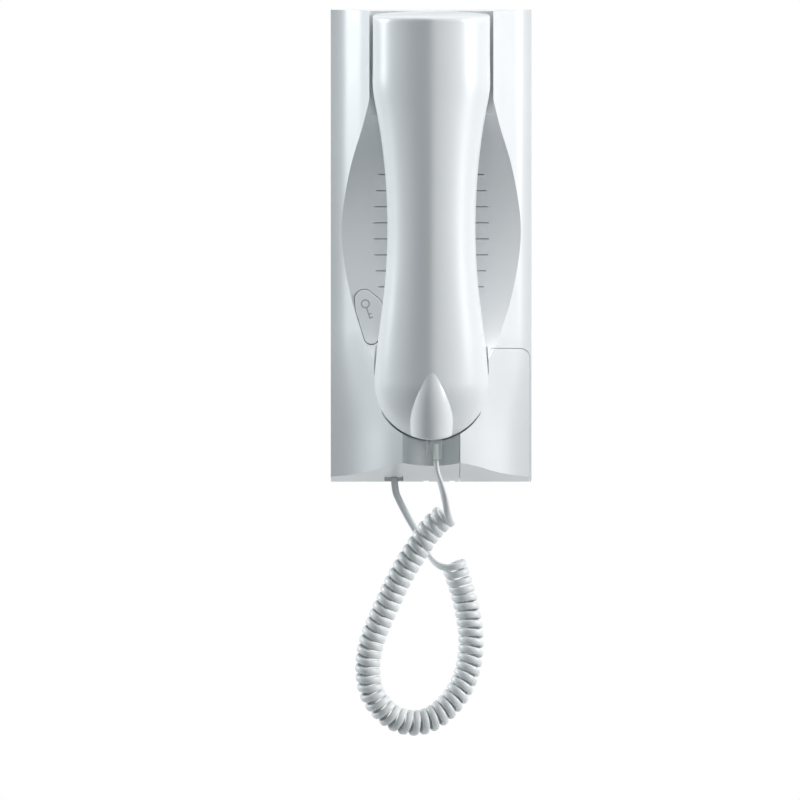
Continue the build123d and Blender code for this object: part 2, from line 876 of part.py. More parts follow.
screw_seat = handset_back + grip_arch + screw_head_height + fit_gap
with BuildPart() as handset_rear:
    add(handset_outer)
    add(handset_inner, mode=Mode.SUBTRACT)
    add(plug_mouth.part, mode=Mode.SUBTRACT)
    split(bisect_by=seam_plane, keep=Keep.BOTTOM)
    add(screw_rings.part)
    for place in handset_screw_heights:
        add(disc(0, place, 0, screw_seat, screw_head_radius + fit_gap), mode=Mode.SUBTRACT)
        add(disc(0, place, 0, handset_depth, screw_radius + fit_gap / 2), mode=Mode.SUBTRACT)
    # Flat seats for the receiver and the microphone
    receiver_seat = disc(0, receiver_height, back_inner, seam_depth, receiver_radius + fit_gap)
    add(receiver_seat, mode=Mode.SUBTRACT)
    mic_seat = disc(0, mic_place, back_inner, seam_depth, mic_radius + mic_boot_wall + fit_gap)
    add(mic_seat, mode=Mode.SUBTRACT)
    # Shallow dish and slots of the ear pad, and slots of the mouth pad
    dish_floor = handset_back + ear_dish_depth
    add(disc(0, receiver_height, 0, dish_floor, ear_dish_radius), mode=Mode.SUBTRACT)
    with BuildSketch(Plane.XZ):
        for index in range(ear_slot_count):
            drop = (index - (ear_slot_count - 1) / 2) * ear_slot_pitch
            width = 2 * math.sqrt(receiver_back_radius**2 - drop**2)
            with Locations((0, receiver_height + drop)):
                Rectangle(width, ear_slot_height)
        with GridLocations(0, mic_slot_pitch, 1, mic_slot_count):
            with Locations((0, mic_place)):
                Rectangle(mic_slot_length, ear_slot_height)
        with Locations((0, hang_peg_place)):
            Rectangle(hang_peg_width + 2 * fit_gap, hang_peg_height + 2 * fit_gap)
    extrude(amount=back_inner + handset_wall, mode=Mode.SUBTRACT)
save(handset_rear.part, "handset_back")

handset_screws = [
    pan_screw(0, place, screw_seat, handset_screw_length, towards_wall=False)
    for place in handset_screw_heights
]
save(Compound(children=handset_screws), "handset_screws")

# Receiver on its foam ring
gasket_top = back_inner + gasket_thickness
with BuildPart() as ear_gasket:
    add(disc(0, receiver_height, back_inner, gasket_top, receiver_radius))
    hole = receiver_radius - gasket_width
    add(disc(0, receiver_height, back_inner, gasket_top, hole), mode=Mode.SUBTRACT)
save(ear_gasket.part, "ear_gasket")

with BuildPart() as ear_receiver:
    rim_top = gasket_top + receiver_step
    add(disc(0, receiver_height, gasket_top, rim_top, receiver_radius))
    receiver_top = gasket_top + receiver_thickness
    add(disc(0, receiver_height, rim_top, receiver_top, receiver_back_radius))
save(ear_receiver.part, "ear_receiver")

# Microphone in its rubber boot
mic_back = back_inner + mic_boot_floor
with BuildPart() as mic_boot:
    add(disc(0, mic_place, back_inner, mic_back + mic_height, mic_radius + mic_boot_wall))
    add(disc(0, mic_place, mic_back, mic_back + mic_height, mic_radius), mode=Mode.SUBTRACT)
    add(disc(0, mic_place, 0, handset_depth, mic_radius / 2), mode=Mode.SUBTRACT)
save(mic_boot.part, "mic_boot")

with BuildPart() as mic_capsule:
    add(disc(0, mic_place, mic_back, mic_back + mic_height, mic_radius))
save(mic_capsule.part, "mic_capsule")

# Handset jack, its board and its plug
with BuildPart() as handset_jack:
    add(jack_body(jack_mouth, jack_length))
save(handset_jack.part, "handset_jack")

small_board_back = handset_jack_depth + jack_width / 2
with BuildPart() as handset_board:
    middle = (small_board_top + small_board_bottom) / 2
    height = small_board_top - small_board_bottom
    small_board_face = small_board_back + board_thickness
    add(block(jack_x, middle, small_board_width, height, small_board_back, small_board_face))
save(handset_board.part, "handset_board")

handset_plug_tail = handset_lead_points[0][2]
with BuildPart() as handset_plug:
    side_plane = Plane((plug_x, -handset_jack_depth, handset_plug_tail), (-1, 0, 0), (0, 1, 0))
    extrude(plug_side(side_plane), amount=plug_width / 2, both=True)
save(handset_plug.part, "handset_plug")

# Curled length of the cord: a helix around a smooth line through the coil's points


def unit(vector):
    return vector.normalized()


coil_line = Spline(*coil_points)
samples_per_turn = 8
sample_count = coil_turns * samples_per_turn
coil_radius = (coil_diameter - curl_diameter) / 2
helix = []
normal = unit(Vector(1, 0, 0) - coil_line % 0 * (Vector(1, 0, 0).dot(coil_line % 0)))
for index in range(-1, sample_count + 2):
    along = min(max(index / sample_count, 0), 1)
    tangent = coil_line % along
    normal = unit(normal - tangent * normal.dot(tangent))
    across = normal.cross(tangent)
    past = (index / sample_count - along) * coil_line.length
    angle = math.radians(coil_start_angle) + 2 * math.pi * index / samples_per_turn
    spoke = normal * math.cos(angle) + across * math.sin(angle)
    helix.append(coil_line @ along + tangent * past + spoke * coil_radius)

joints = list(range(1, sample_count + 2, samples_per_turn // 2))
directions = {i: unit(helix[i + 1] - helix[i - 1]) for i in joints}


def biarc(start, start_way, end, end_way):
    """Two arcs that leave the start and reach the end along the given ways."""
    chord = end - start
    ways = start_way + end_way
    a, b, c = 2 * (1 - start_way.dot(end_way)), 2 * chord.dot(ways), -chord.dot(chord)
    reach = (math.sqrt(b * b - 4 * a * c) - b) / (2 * a)
    middle = (start + end + (start_way - end_way) * reach) * 0.5
    middle_way = unit(chord - ways * reach)
    return [
        TangentArc(start, middle, tangent=start_way),
        TangentArc(middle, end, tangent=middle_way),
    ]


first_way, last_way = directions[joints[0]], directions[joints[-1]]
coil_start = helix[joints[0]] - first_way * curl_diameter
coil_end = helix[joints[-1]] + last_way * curl_diameter
coil_edges = [Line(coil_start, helix[joints[0]])]
for here, there in zip(joints, joints[1:]):
    coil_edges += biarc(helix[here], directions[here], helix[there], directions[there])
coil_edges.append(Line(helix[joints[-1]], coil_end))

with BuildPart() as curly_cord:
    with BuildSketch(Plane(coil_start, z_dir=first_way)):
        RegularPolygon(curl_diameter / 2, curl_sides)
    sweep(path=Wire(coil_edges), clean=False)
save(curly_cord.part, "curly_cord")

# The turns' least distance to each other, on points a tenth of a radian apart
curl_points = [edge @ (step / 16) for edge in coil_edges[1:-1] for step in range(16)]
per_turn = len(curl_points) / coil_turns
near, far = int(0.6 * per_turn), int(1.6 * per_turn)
least = min(
    (point - curl_points[index + ahead]).length
    for index, point in enumerate(curl_points)
    for ahead in range(near, far)
    if index + ahead < len(curl_points)
)
print("least gap between the curls", round(least - curl_diameter, 3))
section_area = curl_sides / 8 * curl_diameter**2 * math.sin(2 * math.pi / curl_sides)
cord_length = sum(edge.length for edge in coil_edges)
print("curled length", round(cord_length, 1), "volume share",
      round(curly_cord.part.volume / (section_area * cord_length), 4))


def lead(points, name):
    """A straight-run tube with an arc at each point, as wide as its runs allow."""
    places = [Vector(*point) for point in points]
    runs = [(b - a) for a, b in zip(places, places[1:])]
    radii = [
        arc_share * min(a.length, b.length) / math.tan(math.radians(a.get_angle(b)) / 2)
        for a, b in zip(runs, runs[1:])
    ]
    print(name, "radii", [round(radius, 1) for radius in radii])
    with BuildPart() as tube:
        with BuildLine() as path:
            FilletPolyline(*places, radius=radii)
        with BuildSketch(Plane(places[0], z_dir=runs[0])):
            RegularPolygon(lead_diameter / 2, lead_sides)
        route = path.wires()[0]
        sweep(path=route)
    print(name, "length", round(route.length, 1), "ends", places[-2], places[-1])
    return tube.part


handset_end = coil_start - first_way * lead_reach
base_end = coil_end + last_way * lead_reach
handset_lead = lead(
    [*handset_lead_points, tuple(handset_end), tuple(coil_start)], "handset_lead"
)
save(handset_lead, "handset_lead")
base_lead = lead([*base_lead_points, tuple(base_end), tuple(coil_end)], "base_lead")
save(base_lead, "base_lead")
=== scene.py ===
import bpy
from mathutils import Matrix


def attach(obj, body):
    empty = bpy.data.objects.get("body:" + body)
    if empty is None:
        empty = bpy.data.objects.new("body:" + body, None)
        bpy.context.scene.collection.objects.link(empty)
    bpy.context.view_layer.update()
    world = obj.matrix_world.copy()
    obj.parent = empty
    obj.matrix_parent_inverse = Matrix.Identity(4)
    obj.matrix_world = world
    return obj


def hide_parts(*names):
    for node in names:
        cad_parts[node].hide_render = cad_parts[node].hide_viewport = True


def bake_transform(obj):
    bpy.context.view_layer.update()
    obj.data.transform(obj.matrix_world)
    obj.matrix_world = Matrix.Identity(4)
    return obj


bl_info = {
    "name": "Audio intercom handset",
    "version": (1, 0, 0),
    "blender": (4, 5, 0),
    "location": "3D View > Sidebar > Intercom",
    "description": "Builds a wall intercom with its handset and curly cord over the CAD frame",
    "category": "Object",
}

import math

import bmesh
import bpy
import numpy as np
from mathutils import Vector

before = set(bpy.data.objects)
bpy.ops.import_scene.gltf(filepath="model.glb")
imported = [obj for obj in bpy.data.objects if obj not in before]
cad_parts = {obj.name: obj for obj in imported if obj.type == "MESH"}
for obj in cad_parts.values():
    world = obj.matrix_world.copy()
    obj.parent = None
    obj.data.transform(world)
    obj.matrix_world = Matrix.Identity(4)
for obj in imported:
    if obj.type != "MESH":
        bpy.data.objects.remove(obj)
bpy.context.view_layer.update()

MM = 0.001

# Places and sizes in millimetres: heights from the base's middle, depths from the wall
FIT = 0.3  # clearance between pieces that fit together
FAR, PROUD = 115.0, 60.0  # past the ends of the base, and in front of its faces
SCOOP_RADIUS, SCOOP_AXIS_DEPTH, SCOOP_HEIGHT = 97.0, 108.0, 6.0
RIDGE_SIDE, CHANNEL_SIDE, CHANNEL_SAG = 27.3, 12.7, 5.3
CLOSING_HEIGHTS = (-38.0, -84.0)  # the wings close in between these
TOP_SLOPE, FOOT_SLOPE = 5.0, 15.0
BED_END_RADIUS, BED_SIDE_END, BED_WAIST, BED_WAIST_DRAW = 25.7, 6.0, -44.0, 1.0
PANEL_RIGHT, PANEL_TOP, PANEL_CORNER = 43.6, -46.0, 4.0
PANEL_WALL, POCKET_DEPTH, PANEL_GAP = 1.3, 1.4, 0.25
PEG_HALF, PEG_LOW, PEG_HIGH, PEG_FRONT = 5.0, 94.9, 97.9, 28.7
PLUNGER_HEIGHT, PLUNGER_BORE = -74.0, 2.45
NOTCHES, NOTCH_HALF = (-2.2, 9.3), 1.2
PLUG_HALF, TONGUE_HALF, PLUG_EDGE, JACK_GAP = 3.825, 2.9, 0.18, 0.35
HANDSET_PLUG, BASE_PLUG = (1.9, -35.5, -95.0), (-16.5, -6.15, -103.5)
PLUG_MOUTH = ((-3.05, -39.7, -92.0), (4.75, -31.3, -80.0))
BUTTON_PROUD, BUTTON_THICKNESS, BUTTON_ROUNDING = 0.5, 4.5, 0.35
BUTTON_TABS = ((-31.0, -21.7, -26.0, -18.7), (-23.7, -39.5, -20.7, -34.5))
TAB_DEPTHS = (99.9, 100.95)  # radii round the scoop's axis
SWITCH_ROOM = ((-31.8, -17.5, -39.5), (-23.8, 1.0, -31.5))
SIGN_BOW, SIGN_TIP = (-29.1, -26.2), (-27.1, -32.6)
SIGN_RADII, SIGN_HALF, SIGN_LIFTS = (2.0, 1.45), 0.27, (0.03, -0.1)
HANDSET_END, END_RADIUS, ROWS_END, TOP_EDGE = -61.2, 24.88, 96.0, 100.0
DOME_RISE, BACK_ROUNDING = 0.97, 2.0  # the dome's rise as a share of the half width
TOP_FACE_SLOPE, TOP_FACE_CROWN, TOP_FACE_RISE, SECTION_MIDDLE = 8.6, 1.5, 0.7, 42.0
SEAM_GAP = 0.12  # to each side of the seam
SCREWS = ((41.0, 5.0), (-36.0, 1.6))  # height, and rise of the handset's back there
SCREW_RING, SCREW_HEAD, SCREW_BORE = 4.4, 2.7, 1.15
RING_START, RING_END, HEAD_SEAT, BEHIND = 26.9, 35.4, 33.2, 20.0
EAR_HEIGHT, EAR_RADIUS, EAR_FLOOR, EAR_SLOTS_RADIUS, EAR_PITCH = 77.0, 19.0, 26.5, 11.0, 4.2
MOUTH_HEIGHTS, MOUTH_HALF, OPENING_HALF = (-63.0, -60.0, -57.0), 3.5, 0.7

# Shares of the wing between its edge and its ridge: width and rise
TOP_WING = ((0.70, 0.13), (0.45, 0.35), (0.20, 0.62))
FOOT_WING = ((0.70, 0.16), (0.45, 0.43), (0.20, 0.80))

# Circles that the button's outline wraps: x, height and radius
BUTTON_CIRCLES = ((-29.6, -24.1, 4.2), (-27.4, -28.2, 6.0), (-26.4, -40.9, 3.2))

# The handset's front as shares of its half width and its rise
DOME = ((1.0, 0.0), (0.93, 0.36), (0.76, 0.63), (0.42, 0.885), (0.15, 0.98), (0.0, 1.0))

# The handset's height, half width and the rise of its back
STATIONS = (
    (-61.2, 24.9, 0.0),
    (-43.9, 23.6, 1.4),
    (-24.0, 21.1, 4.4),
    (-6.0, 19.6, 5.5),
    (13.9, 19.4, 5.5),
    (36.0, 20.8, 4.7),
    (49.9, 22.6, 2.0),
    (60.5, 24.5, 0.0),
    (67.9, 25.7, 0.0),
    (75.3, 25.8, 0.0),
    (110.0, 25.8, 0.0),
)

# The cord fairing: drop below its start, radius, front past the handset's front
FAIRING_START, FAIRING_FOOT, FAIRING_ROUNDING = -57.0, 34.0, 0.9
FAIRING = ((0.0, 5.0, 0.0), (7.0, 7.6, 0.9), (29.1, 9.0, -1.5))

# Routes of the cord
HANDSET_LEAD = (
    (1.9, -35.5, -88.0),
    (1.9, -35.5, -98.5),
    (3.7, -35.6, -104.0),
    (5.9, -35.2, -111.5),
)
COIL = (
    (6.6, -27.0, -119.4),
    (1.2, -26.5, -123.2),
    (-5.8, -25.6, -133.6),
    (-12.9, -24.4, -144.7),
    (-19.8, -23.0, -159.3),
    (-26.2, -21.6, -174.0),
    (-28.1, -20.6, -183.5),
    (-27.9, -19.8, -191.4),
    (-26.2, -19.0, -199.0),
    (-21.3, -18.0, -205.6),
    (-15.6, -17.0, -210.0),
    (-7.8, -16.0, -212.0),
    (0.4, -15.0, -210.0),
    (8.0, -14.0, -203.8),
    (13.2, -13.0, -196.2),
    (16.8, -12.2, -186.7),
    (18.0, -11.4, -175.3),
    (16.4, -10.6, -162.7),
    (13.3, -10.8, -150.9),
    (9.8, -13.6, -141.0),
)
BASE_LEAD = (
    (-16.5, -6.15, -97.0),
    (-16.5, -6.15, -108.0),
    (-13.6, -6.4, -114.5),
    (-9.6, -7.0, -122.0),
    (-4.6, -7.6, -130.0),
)


def length_property(name, description, value):
    """A length with its label and its default."""
    return bpy.props.FloatProperty(name=name, description=description, default=value, unit="LENGTH")


def colour_property(name, description, value):
    """A colour with its label and its default."""
    return bpy.props.FloatVectorProperty(
        name=name, description=description, default=value, size=3, min=0, max=1, subtype="COLOR"
    )


class BaseSizes(bpy.types.PropertyGroup):
    width: length_property("Width", "Width of the base", 0.089)
    height: length_property("Height", "Height of the base", 0.210)
    edge_depth: length_property("Edge depth", "Depth of the housing at its outer edges", 0.0085)
    ridge_depth: length_property("Ridge depth", "Depth of the ridges by the handset", 0.030)
    foot_ridge_depth: length_property("Foot ridge depth", "Depth of the ridges at the foot", 0.0325)
    bed_depth: length_property("Bed depth", "Depth of the handset bed's floor", 0.0255)
    wall: length_property("Wall", "Wall of the moulding", 0.0026)
    slot_height: length_property("Slot height", "Height of a sounder slot", 0.00035)
    slot_pitch: length_property("Slot pitch", "Distance between sounder slots", 0.0071)
    slot_count: bpy.props.IntProperty(name="Slots", description="Sounder slots", default=8, min=1)


class HandsetSizes(bpy.types.PropertyGroup):
    depth: length_property("Front", "Distance of the handset's front from the wall", 0.060)
    back: length_property("Back", "Distance of the handset's back from the wall", 0.0258)
    seam: length_property("Seam", "Distance of the joint of the shells from the wall", 0.035)
    top: length_property("Top", "Height of the top face at its back edge", 0.1022)
    wall: length_property("Wall", "Wall of the shells", 0.0022)
    edge_radius: length_property("Edge radius", "Rounding of the top edge", 0.0009)


class CordSizes(bpy.types.PropertyGroup):
    width: length_property("Width", "Width of the flat cord", 0.0031)
    thickness: length_property("Thickness", "Thickness of the flat cord", 0.0021)
    coil: length_property("Coil", "Outer diameter of the curls", 0.0114)
    turns: bpy.props.IntProperty(name="Curls", description="Number of curls", default=50, min=4)


class Finishes(bpy.types.PropertyGroup):
    housing: colour_property("Housing", "Moulded housing", (0.80, 0.82, 0.83))
    rear: colour_property("Rear", "Rear plate", (0.72, 0.74, 0.75))
    cord: colour_property("Cord", "Cord jacket", (0.78, 0.80, 0.80))
    sign: colour_property("Key sign", "Printed key sign", (0.36, 0.39, 0.41))
    board: colour_property("Board", "Solder mask", (0.015, 0.13, 0.045))
    black: colour_property("Black parts", "Black moulded parts", (0.018, 0.018, 0.02))
    terminal: colour_property("Terminal", "Terminal block", (0.03, 0.19, 0.06))


QUARTER = [math.pi / 2 * i / 6 for i in range(7)]


# Curves and meshes


def smooth_through(places, values, level=False):
    """A function with steady curvature through the values, level at its ends if asked."""
    x, y = np.asarray(places, float), np.asarray(values, float)
    count, step = len(x), np.diff(x)
    slope = (np.diff(y, axis=0).T / step).T
    system, right = np.zeros((count, count)), np.zeros(y.shape)
    for i in range(1, count - 1):
        system[i, i - 1 : i + 2] = step[i - 1], 2 * (step[i - 1] + step[i]), step[i]
        right[i] = 6 * (slope[i] - slope[i - 1])
    if level:
        system[0, :2] = 2 * step[0], step[0]
        system[-1, -2:] = step[-1], 2 * step[-1]
        right[0], right[-1] = 6 * slope[0], -6 * slope[-1]
    else:
        system[0, 0] = system[-1, -1] = 1
    bend = np.linalg.solve(system, right)

    def value(at):
        i = int(np.clip(np.searchsorted(x, at) - 1, 0, count - 2))
        h, a, b = step[i], x[i + 1] - at, at - x[i]
        return (
            (bend[i] * a**3 + bend[i + 1] * b**3) / (6 * h)
            + (y[i] / h - bend[i] * h / 6) * a
            + (y[i + 1] / h - bend[i + 1] * h / 6) * b
        )

    return value


def run_of(points):
    """The distance along the line to each of its points."""
    return np.r_[0, np.cumsum(np.linalg.norm(np.diff(points, axis=0), axis=1))]


def line_through(points, samples):
    """Points on a smooth line through the given ones."""
    points = np.asarray(points, float)
    along = run_of(points)
    value = smooth_through(along, points)
    return [value(at) for at in np.linspace(0, along[-1], samples)]


def mix(start, end, share):
    """The value at a share of the way."""
    return start + (end - start) * share


def eased(share):
    """The share with a level start and a level end."""
    near = min(max(share, 0), 1)
    return near * near * (3 - 2 * near)


def arc(x, y, radius, start, end, steps):
    """Points on a circle between two angles in degrees."""
    turn = [math.radians(mix(start, end, i / steps)) for i in range(steps + 1)]
    return [(x + radius * math.cos(a), y + radius * math.sin(a)) for a in turn]


def placed(name, data):
    """A new object in the scene."""
    piece = bpy.data.objects.new(name, data)
    bpy.context.scene.collection.objects.link(piece)
    return piece


def mesh_object(name, vertices, faces, merge=1e-4):
    """A piece from millimetre coordinates, its doubles merged and its faces turned outwards."""
    mesh = bpy.data.meshes.new(name)
    mesh.from_pydata([tuple(float(c) * MM for c in v) for v in vertices], [], faces)
    bm = bmesh.new()
    bm.from_mesh(mesh)
    if merge:
        bmesh.ops.remove_doubles(bm, verts=bm.verts, dist=merge * MM)
    bmesh.ops.recalc_face_normals(bm, faces=bm.faces)
    bm.to_mesh(mesh)
    bm.free()
    return placed(name, mesh)


def quads(rows, size, start=0, closed=True):
    """Quads between loops or lines of equal length that follow each other."""
    faces = []
    for row in range(rows - 1):
        a = start + row * size
        for i in range(size if closed else size - 1):
            j = (i + 1) % size
            faces.append((a + i, a + j, a + size + j, a + size + i))
    return faces


def prism_faces(start, count):
    """The ends and the sides between two loops that follow each other."""
    near, far = range(start, start + count), range(start + count, start + 2 * count)
    return [tuple(reversed(near)), tuple(far), *quads(2, count, start)]


def ring_mesh(name, rings, ends=None):
    """A closed piece from loops of equal length, its ends flat unless others are given."""
    size, last = len(rings[0]), (len(rings) - 1) * len(rings[0])
    if ends is None:
        ends = [tuple(reversed(range(size))), tuple(range(last, last + size))]
    vertices = [v for ring in rings for v in ring]
    return mesh_object(name, vertices, quads(len(rings), size) + ends)


def upright_prism(name, outline, start, end):
    """An outline in x and z, extruded between two depths from the wall."""
    rings = [[(x, -depth, z) for x, z in outline] for depth in (start, end)]
    return ring_mesh(name, rings)


def disc(name, x, z, start, end, radius, sides=64):
    """A round bar or bore, square to the wall."""
    return upright_prism(name, arc(x, z, radius, 0, 360, sides)[:-1], start, end)


def box(name, low, high):
    """A block between two corners."""
    (ax, ay, az), (bx, by, bz) = low, high
    rings = [[(ax, ay, z), (bx, ay, z), (bx, by, z), (ax, by, z)] for z in (az, bz)]
    return ring_mesh(name, rings)


def final_mesh(piece):
    """A mesh of the piece with all that is on it applied."""
    bpy.context.view_layer.update()
    graph = bpy.context.evaluated_depsgraph_get()
    return bpy.data.meshes.new_from_object(piece.evaluated_get(graph), depsgraph=graph)


def plain_mesh(piece):
    """The piece with its final mesh and no modifiers."""
    mesh = final_mesh(piece)
    piece.modifiers.clear()
    piece.data = mesh
    return piece


def carve(piece, cutters, operation="DIFFERENCE", keep=False):
    """Cuts, joins or crosses the piece with each of the others."""
    for cutter in cutters:
        modifier = piece.modifiers.new("cut", "BOOLEAN")
        modifier.operation = operation
        modifier.solver = "EXACT"
        modifier.object = cutter
        plain_mesh(piece)
        if not piece.data.polygons:
            raise RuntimeError(f"nothing is left of {piece.name} after {cutter.name}")
    if not keep:
        for cutter in cutters:
            bpy.data.objects.remove(cutter, do_unlink=True)
    return piece


def cut_off(piece, place, outwards, close=True):
    """Removes what lies beyond a plane and closes the cut if asked."""
    bm = bmesh.new()
    bm.from_mesh(piece.data)
    cut = bmesh.ops.bisect_plane(
        bm,
        geom=bm.verts[:] + bm.edges[:] + bm.faces[:],
        dist=1e-7,
        plane_co=Vector(place) * MM,
        plane_no=outwards,
        clear_outer=True,
    )
    if close:
        edges = [e for e in cut["geom_cut"] if isinstance(e, bmesh.types.BMEdge)]
        bmesh.ops.contextual_create(bm, geom=edges)
        bmesh.ops.recalc_face_normals(bm, faces=bm.faces)
    bm.to_mesh(piece.data)
    bm.free()


def smooth(piece, angle):
    """Smooth shading that stops at the real edges."""
    mesh = piece.data
    mesh.polygons.foreach_set("use_smooth", [True] * len(mesh.polygons))
    mesh.set_sharp_from_angle(angle=math.radians(angle))
    return piece


def dress(piece, material, slot, body, *nodes):
    """Gives a finished piece its material and its body, and hides the nodes that it stands for; the
    slot is not used.
    """
    piece.data.materials.clear()
    piece.data.materials.append(material)
    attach(piece, body)
    if nodes:
        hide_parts(*nodes)


# Materials


def node_material(name):
    """A new material with its node tree and its shader."""
    material = bpy.data.materials.new(name)
    material.use_nodes = True
    tree = material.node_tree
    return material, tree, tree.nodes["Principled BSDF"]


def fill(node, **values):
    """Sets a node's inputs by their names."""
    for key, value in values.items():
        node.inputs[key.replace("_", " ")].default_value = value
    return node


def noise(tree, scale, detail):
    """Soft noise on the object's own coordinates."""
    place = tree.nodes.new("ShaderNodeTexCoord")
    texture = fill(tree.nodes.new("ShaderNodeTexNoise"), Scale=scale, Detail=detail)
    tree.links.new(place.outputs["Object"], texture.inputs["Vector"])
    return texture.outputs["Fac"]


def between(tree, share, low, high):
    """A value that follows the share between two limits."""
    span = tree.nodes.new("ShaderNodeMapRange")
    fill(span, From_Min=0.3, From_Max=0.7, To_Min=low, To_Max=high)
    tree.links.new(share, span.inputs["Value"])
    return span.outputs["Result"]


def tinted(tree, share, colour, spread):
    """A colour that varies a little to both sides."""
    blend = tree.nodes.new("ShaderNodeMix")
    blend.data_type = "RGBA"
    dark, pale = ([min(c * by, 1) for c in colour] for by in (1 - spread, 1 + spread))
    fill(blend, A=(*dark, 1), B=(*pale, 1))
    tree.links.new(share, blend.inputs["Factor"])
    return blend.outputs["Result"]


def relief(tree, height, shader, strength, distance):
    """Fine relief on the shader's surface."""
    bump = fill(tree.nodes.new("ShaderNodeBump"), Strength=strength, Distance=distance)
    tree.links.new(height, bump.inputs["Height"])
    tree.links.new(bump.outputs["Normal"], shader.inputs["Normal"])


def coat(name, colour, tint, gloss, grain, **values):
    """A material with a noise of its own scale and detail for each of tint, gloss and grain."""
    material, tree, shader = node_material(name)
    fill(shader, Base_Color=(*colour, 1), **values)
    if tint:
        *place, spread = tint
        share = noise(tree, *place)
        tree.links.new(tinted(tree, share, colour, spread), shader.inputs["Base Color"])
    place, limits = gloss[:2], gloss[2:]
    tree.links.new(between(tree, noise(tree, *place), *limits), shader.inputs["Roughness"])
    place, height = grain[:2], grain[2:]
    relief(tree, noise(tree, *place), shader, *height)
    return material


def moulded(name, colour, rough=(0.28, 0.36), grain=1600, strength=0.12, spread=0.012):
    """Moulded plastic with a fine grain and a faint unevenness of gloss and tint."""
    fine = (grain, 2, strength, 0.00002)
    return coat(name, colour, (14, 3, spread), (60, 4, *rough), fine, IOR=1.53)


def metal(name, colour, rough=(0.25, 0.4)):
    """Plated or pressed metal with fine scratches and duller patches."""
    scratches = (2400, 2, 0.2, 0.00002)
    return coat(name, colour, (220, 5, 0.08), (500, 4, *rough), scratches, Metallic=1)


def clear_plastic(name):
    """Clear polycarbonate, slightly cloudy inside."""
    colour, haze, grain = (0.80, 0.86, 0.84), (300, 3, 0.04, 0.16), (700, 2, 0.06, 0.00003)
    return coat(name, colour, None, haze, grain, Transmission_Weight=0.85, IOR=1.58)


def rubber(name):
    """Dull black rubber."""
    colour, dull = (0.025, 0.025, 0.026), (200, 3, 0.6, 0.8)
    return coat(name, colour, (90, 4, 0.2), dull, (1800, 3, 0.3, 0.00003))


def circuit(name, colour):
    """Solder mask over copper tracks."""
    material, tree, shader = node_material(name)
    new, link = tree.nodes.new, tree.links.new
    place, tracks = new("ShaderNodeTexCoord"), new("ShaderNodeTexBrick")
    tracks.offset = 0.5
    fill(tracks, Scale=1.0, Mortar_Size=0.0004, Brick_Width=0.011, Row_Height=0.0032)
    mask, shade, copper = ((*[c * by for c in colour], 1) for by in (1, 0.8, 2.2))
    fill(tracks, Color1=mask, Color2=shade, Mortar=copper)
    turn = fill(new("ShaderNodeMapping"), Rotation=(math.pi / 2, 0, 0))
    link(place.outputs["Object"], turn.inputs["Vector"])
    link(turn.outputs["Vector"], tracks.inputs["Vector"])
    link(tracks.outputs["Color"], shader.inputs["Base Color"])
    link(between(tree, noise(tree, 400, 3), 0.22, 0.36), shader.inputs["Roughness"])
    relief(tree, tracks.outputs["Fac"], shader, 0.3, 0.00003)
    return material


def soft_foam(name):
    """Open-cell foam, its colour darkened with painted shade in the pits of its cells."""
    material, tree, shader = node_material(name)
    fill(shader, Roughness=0.95)
    place = tree.nodes.new("ShaderNodeTexCoord")
    cells = fill(tree.nodes.new("ShaderNodeTexVoronoi"), Scale=1500)
    tree.links.new(place.outputs["Object"], cells.inputs["Vector"])
    depth = cells.outputs["Distance"]
    # Painted shade: the colour is darkest where the relief is lowest, in the pits of the cells
    tint = tinted(tree, depth, (0.03, 0.03, 0.03), 0.6)
    tree.links.new(tint, shader.inputs["Base Color"])
    relief(tree, depth, shader, 0.8, 0.0002)
    return material


def finish(name):
    """The material of that name, made once."""
    known = bpy.data.materials.get(name)
    if known:
        return known
    colours = bpy.context.scene.intercom_finishes
    makers = {
        "white ABS": (moulded, colours.housing),
        "white ABS rear": (moulded, colours.rear, (0.45, 0.6), 900, 0.25),
        "white acetal": (moulded, (0.74, 0.74, 0.71), (0.35, 0.5), 1200, 0.1),
        "cord PVC": (moulded, colours.cord, (0.34, 0.48), 1300, 0.18, 0.02),
        "sign ink": (moulded, colours.sign, (0.45, 0.6), 2500, 0.2, 0.05),
        "solder mask": (circuit, colours.board),
        "black moulding": (moulded, colours.black, (0.35, 0.5), 1400, 0.3, 0.2),
        "jack moulding": (moulded, colours.black, (0.3, 0.42), 1100, 0.2, 0.15),
        "green polyamide": (moulded, colours.terminal, (0.4, 0.55), 1200, 0.3, 0.1),
        "zinc plate": (metal, (0.66, 0.67, 0.69)),
        "pressed aluminium": (metal, (0.60, 0.61, 0.62), (0.35, 0.5)),
        "foam": (soft_foam,),
        "boot rubber": (rubber,),
        "clear polycarbonate": (clear_plastic,),
    }
    make, *values = makers[name]
    return make(name, *values)


# Forms of the base: each gives the outside, or an inner face when drawn in or grown


def sizes_mm(group):
    """The group's sizes in millimetres."""
    return {key: getattr(group, key) * 1000 for key in group.__annotations__}


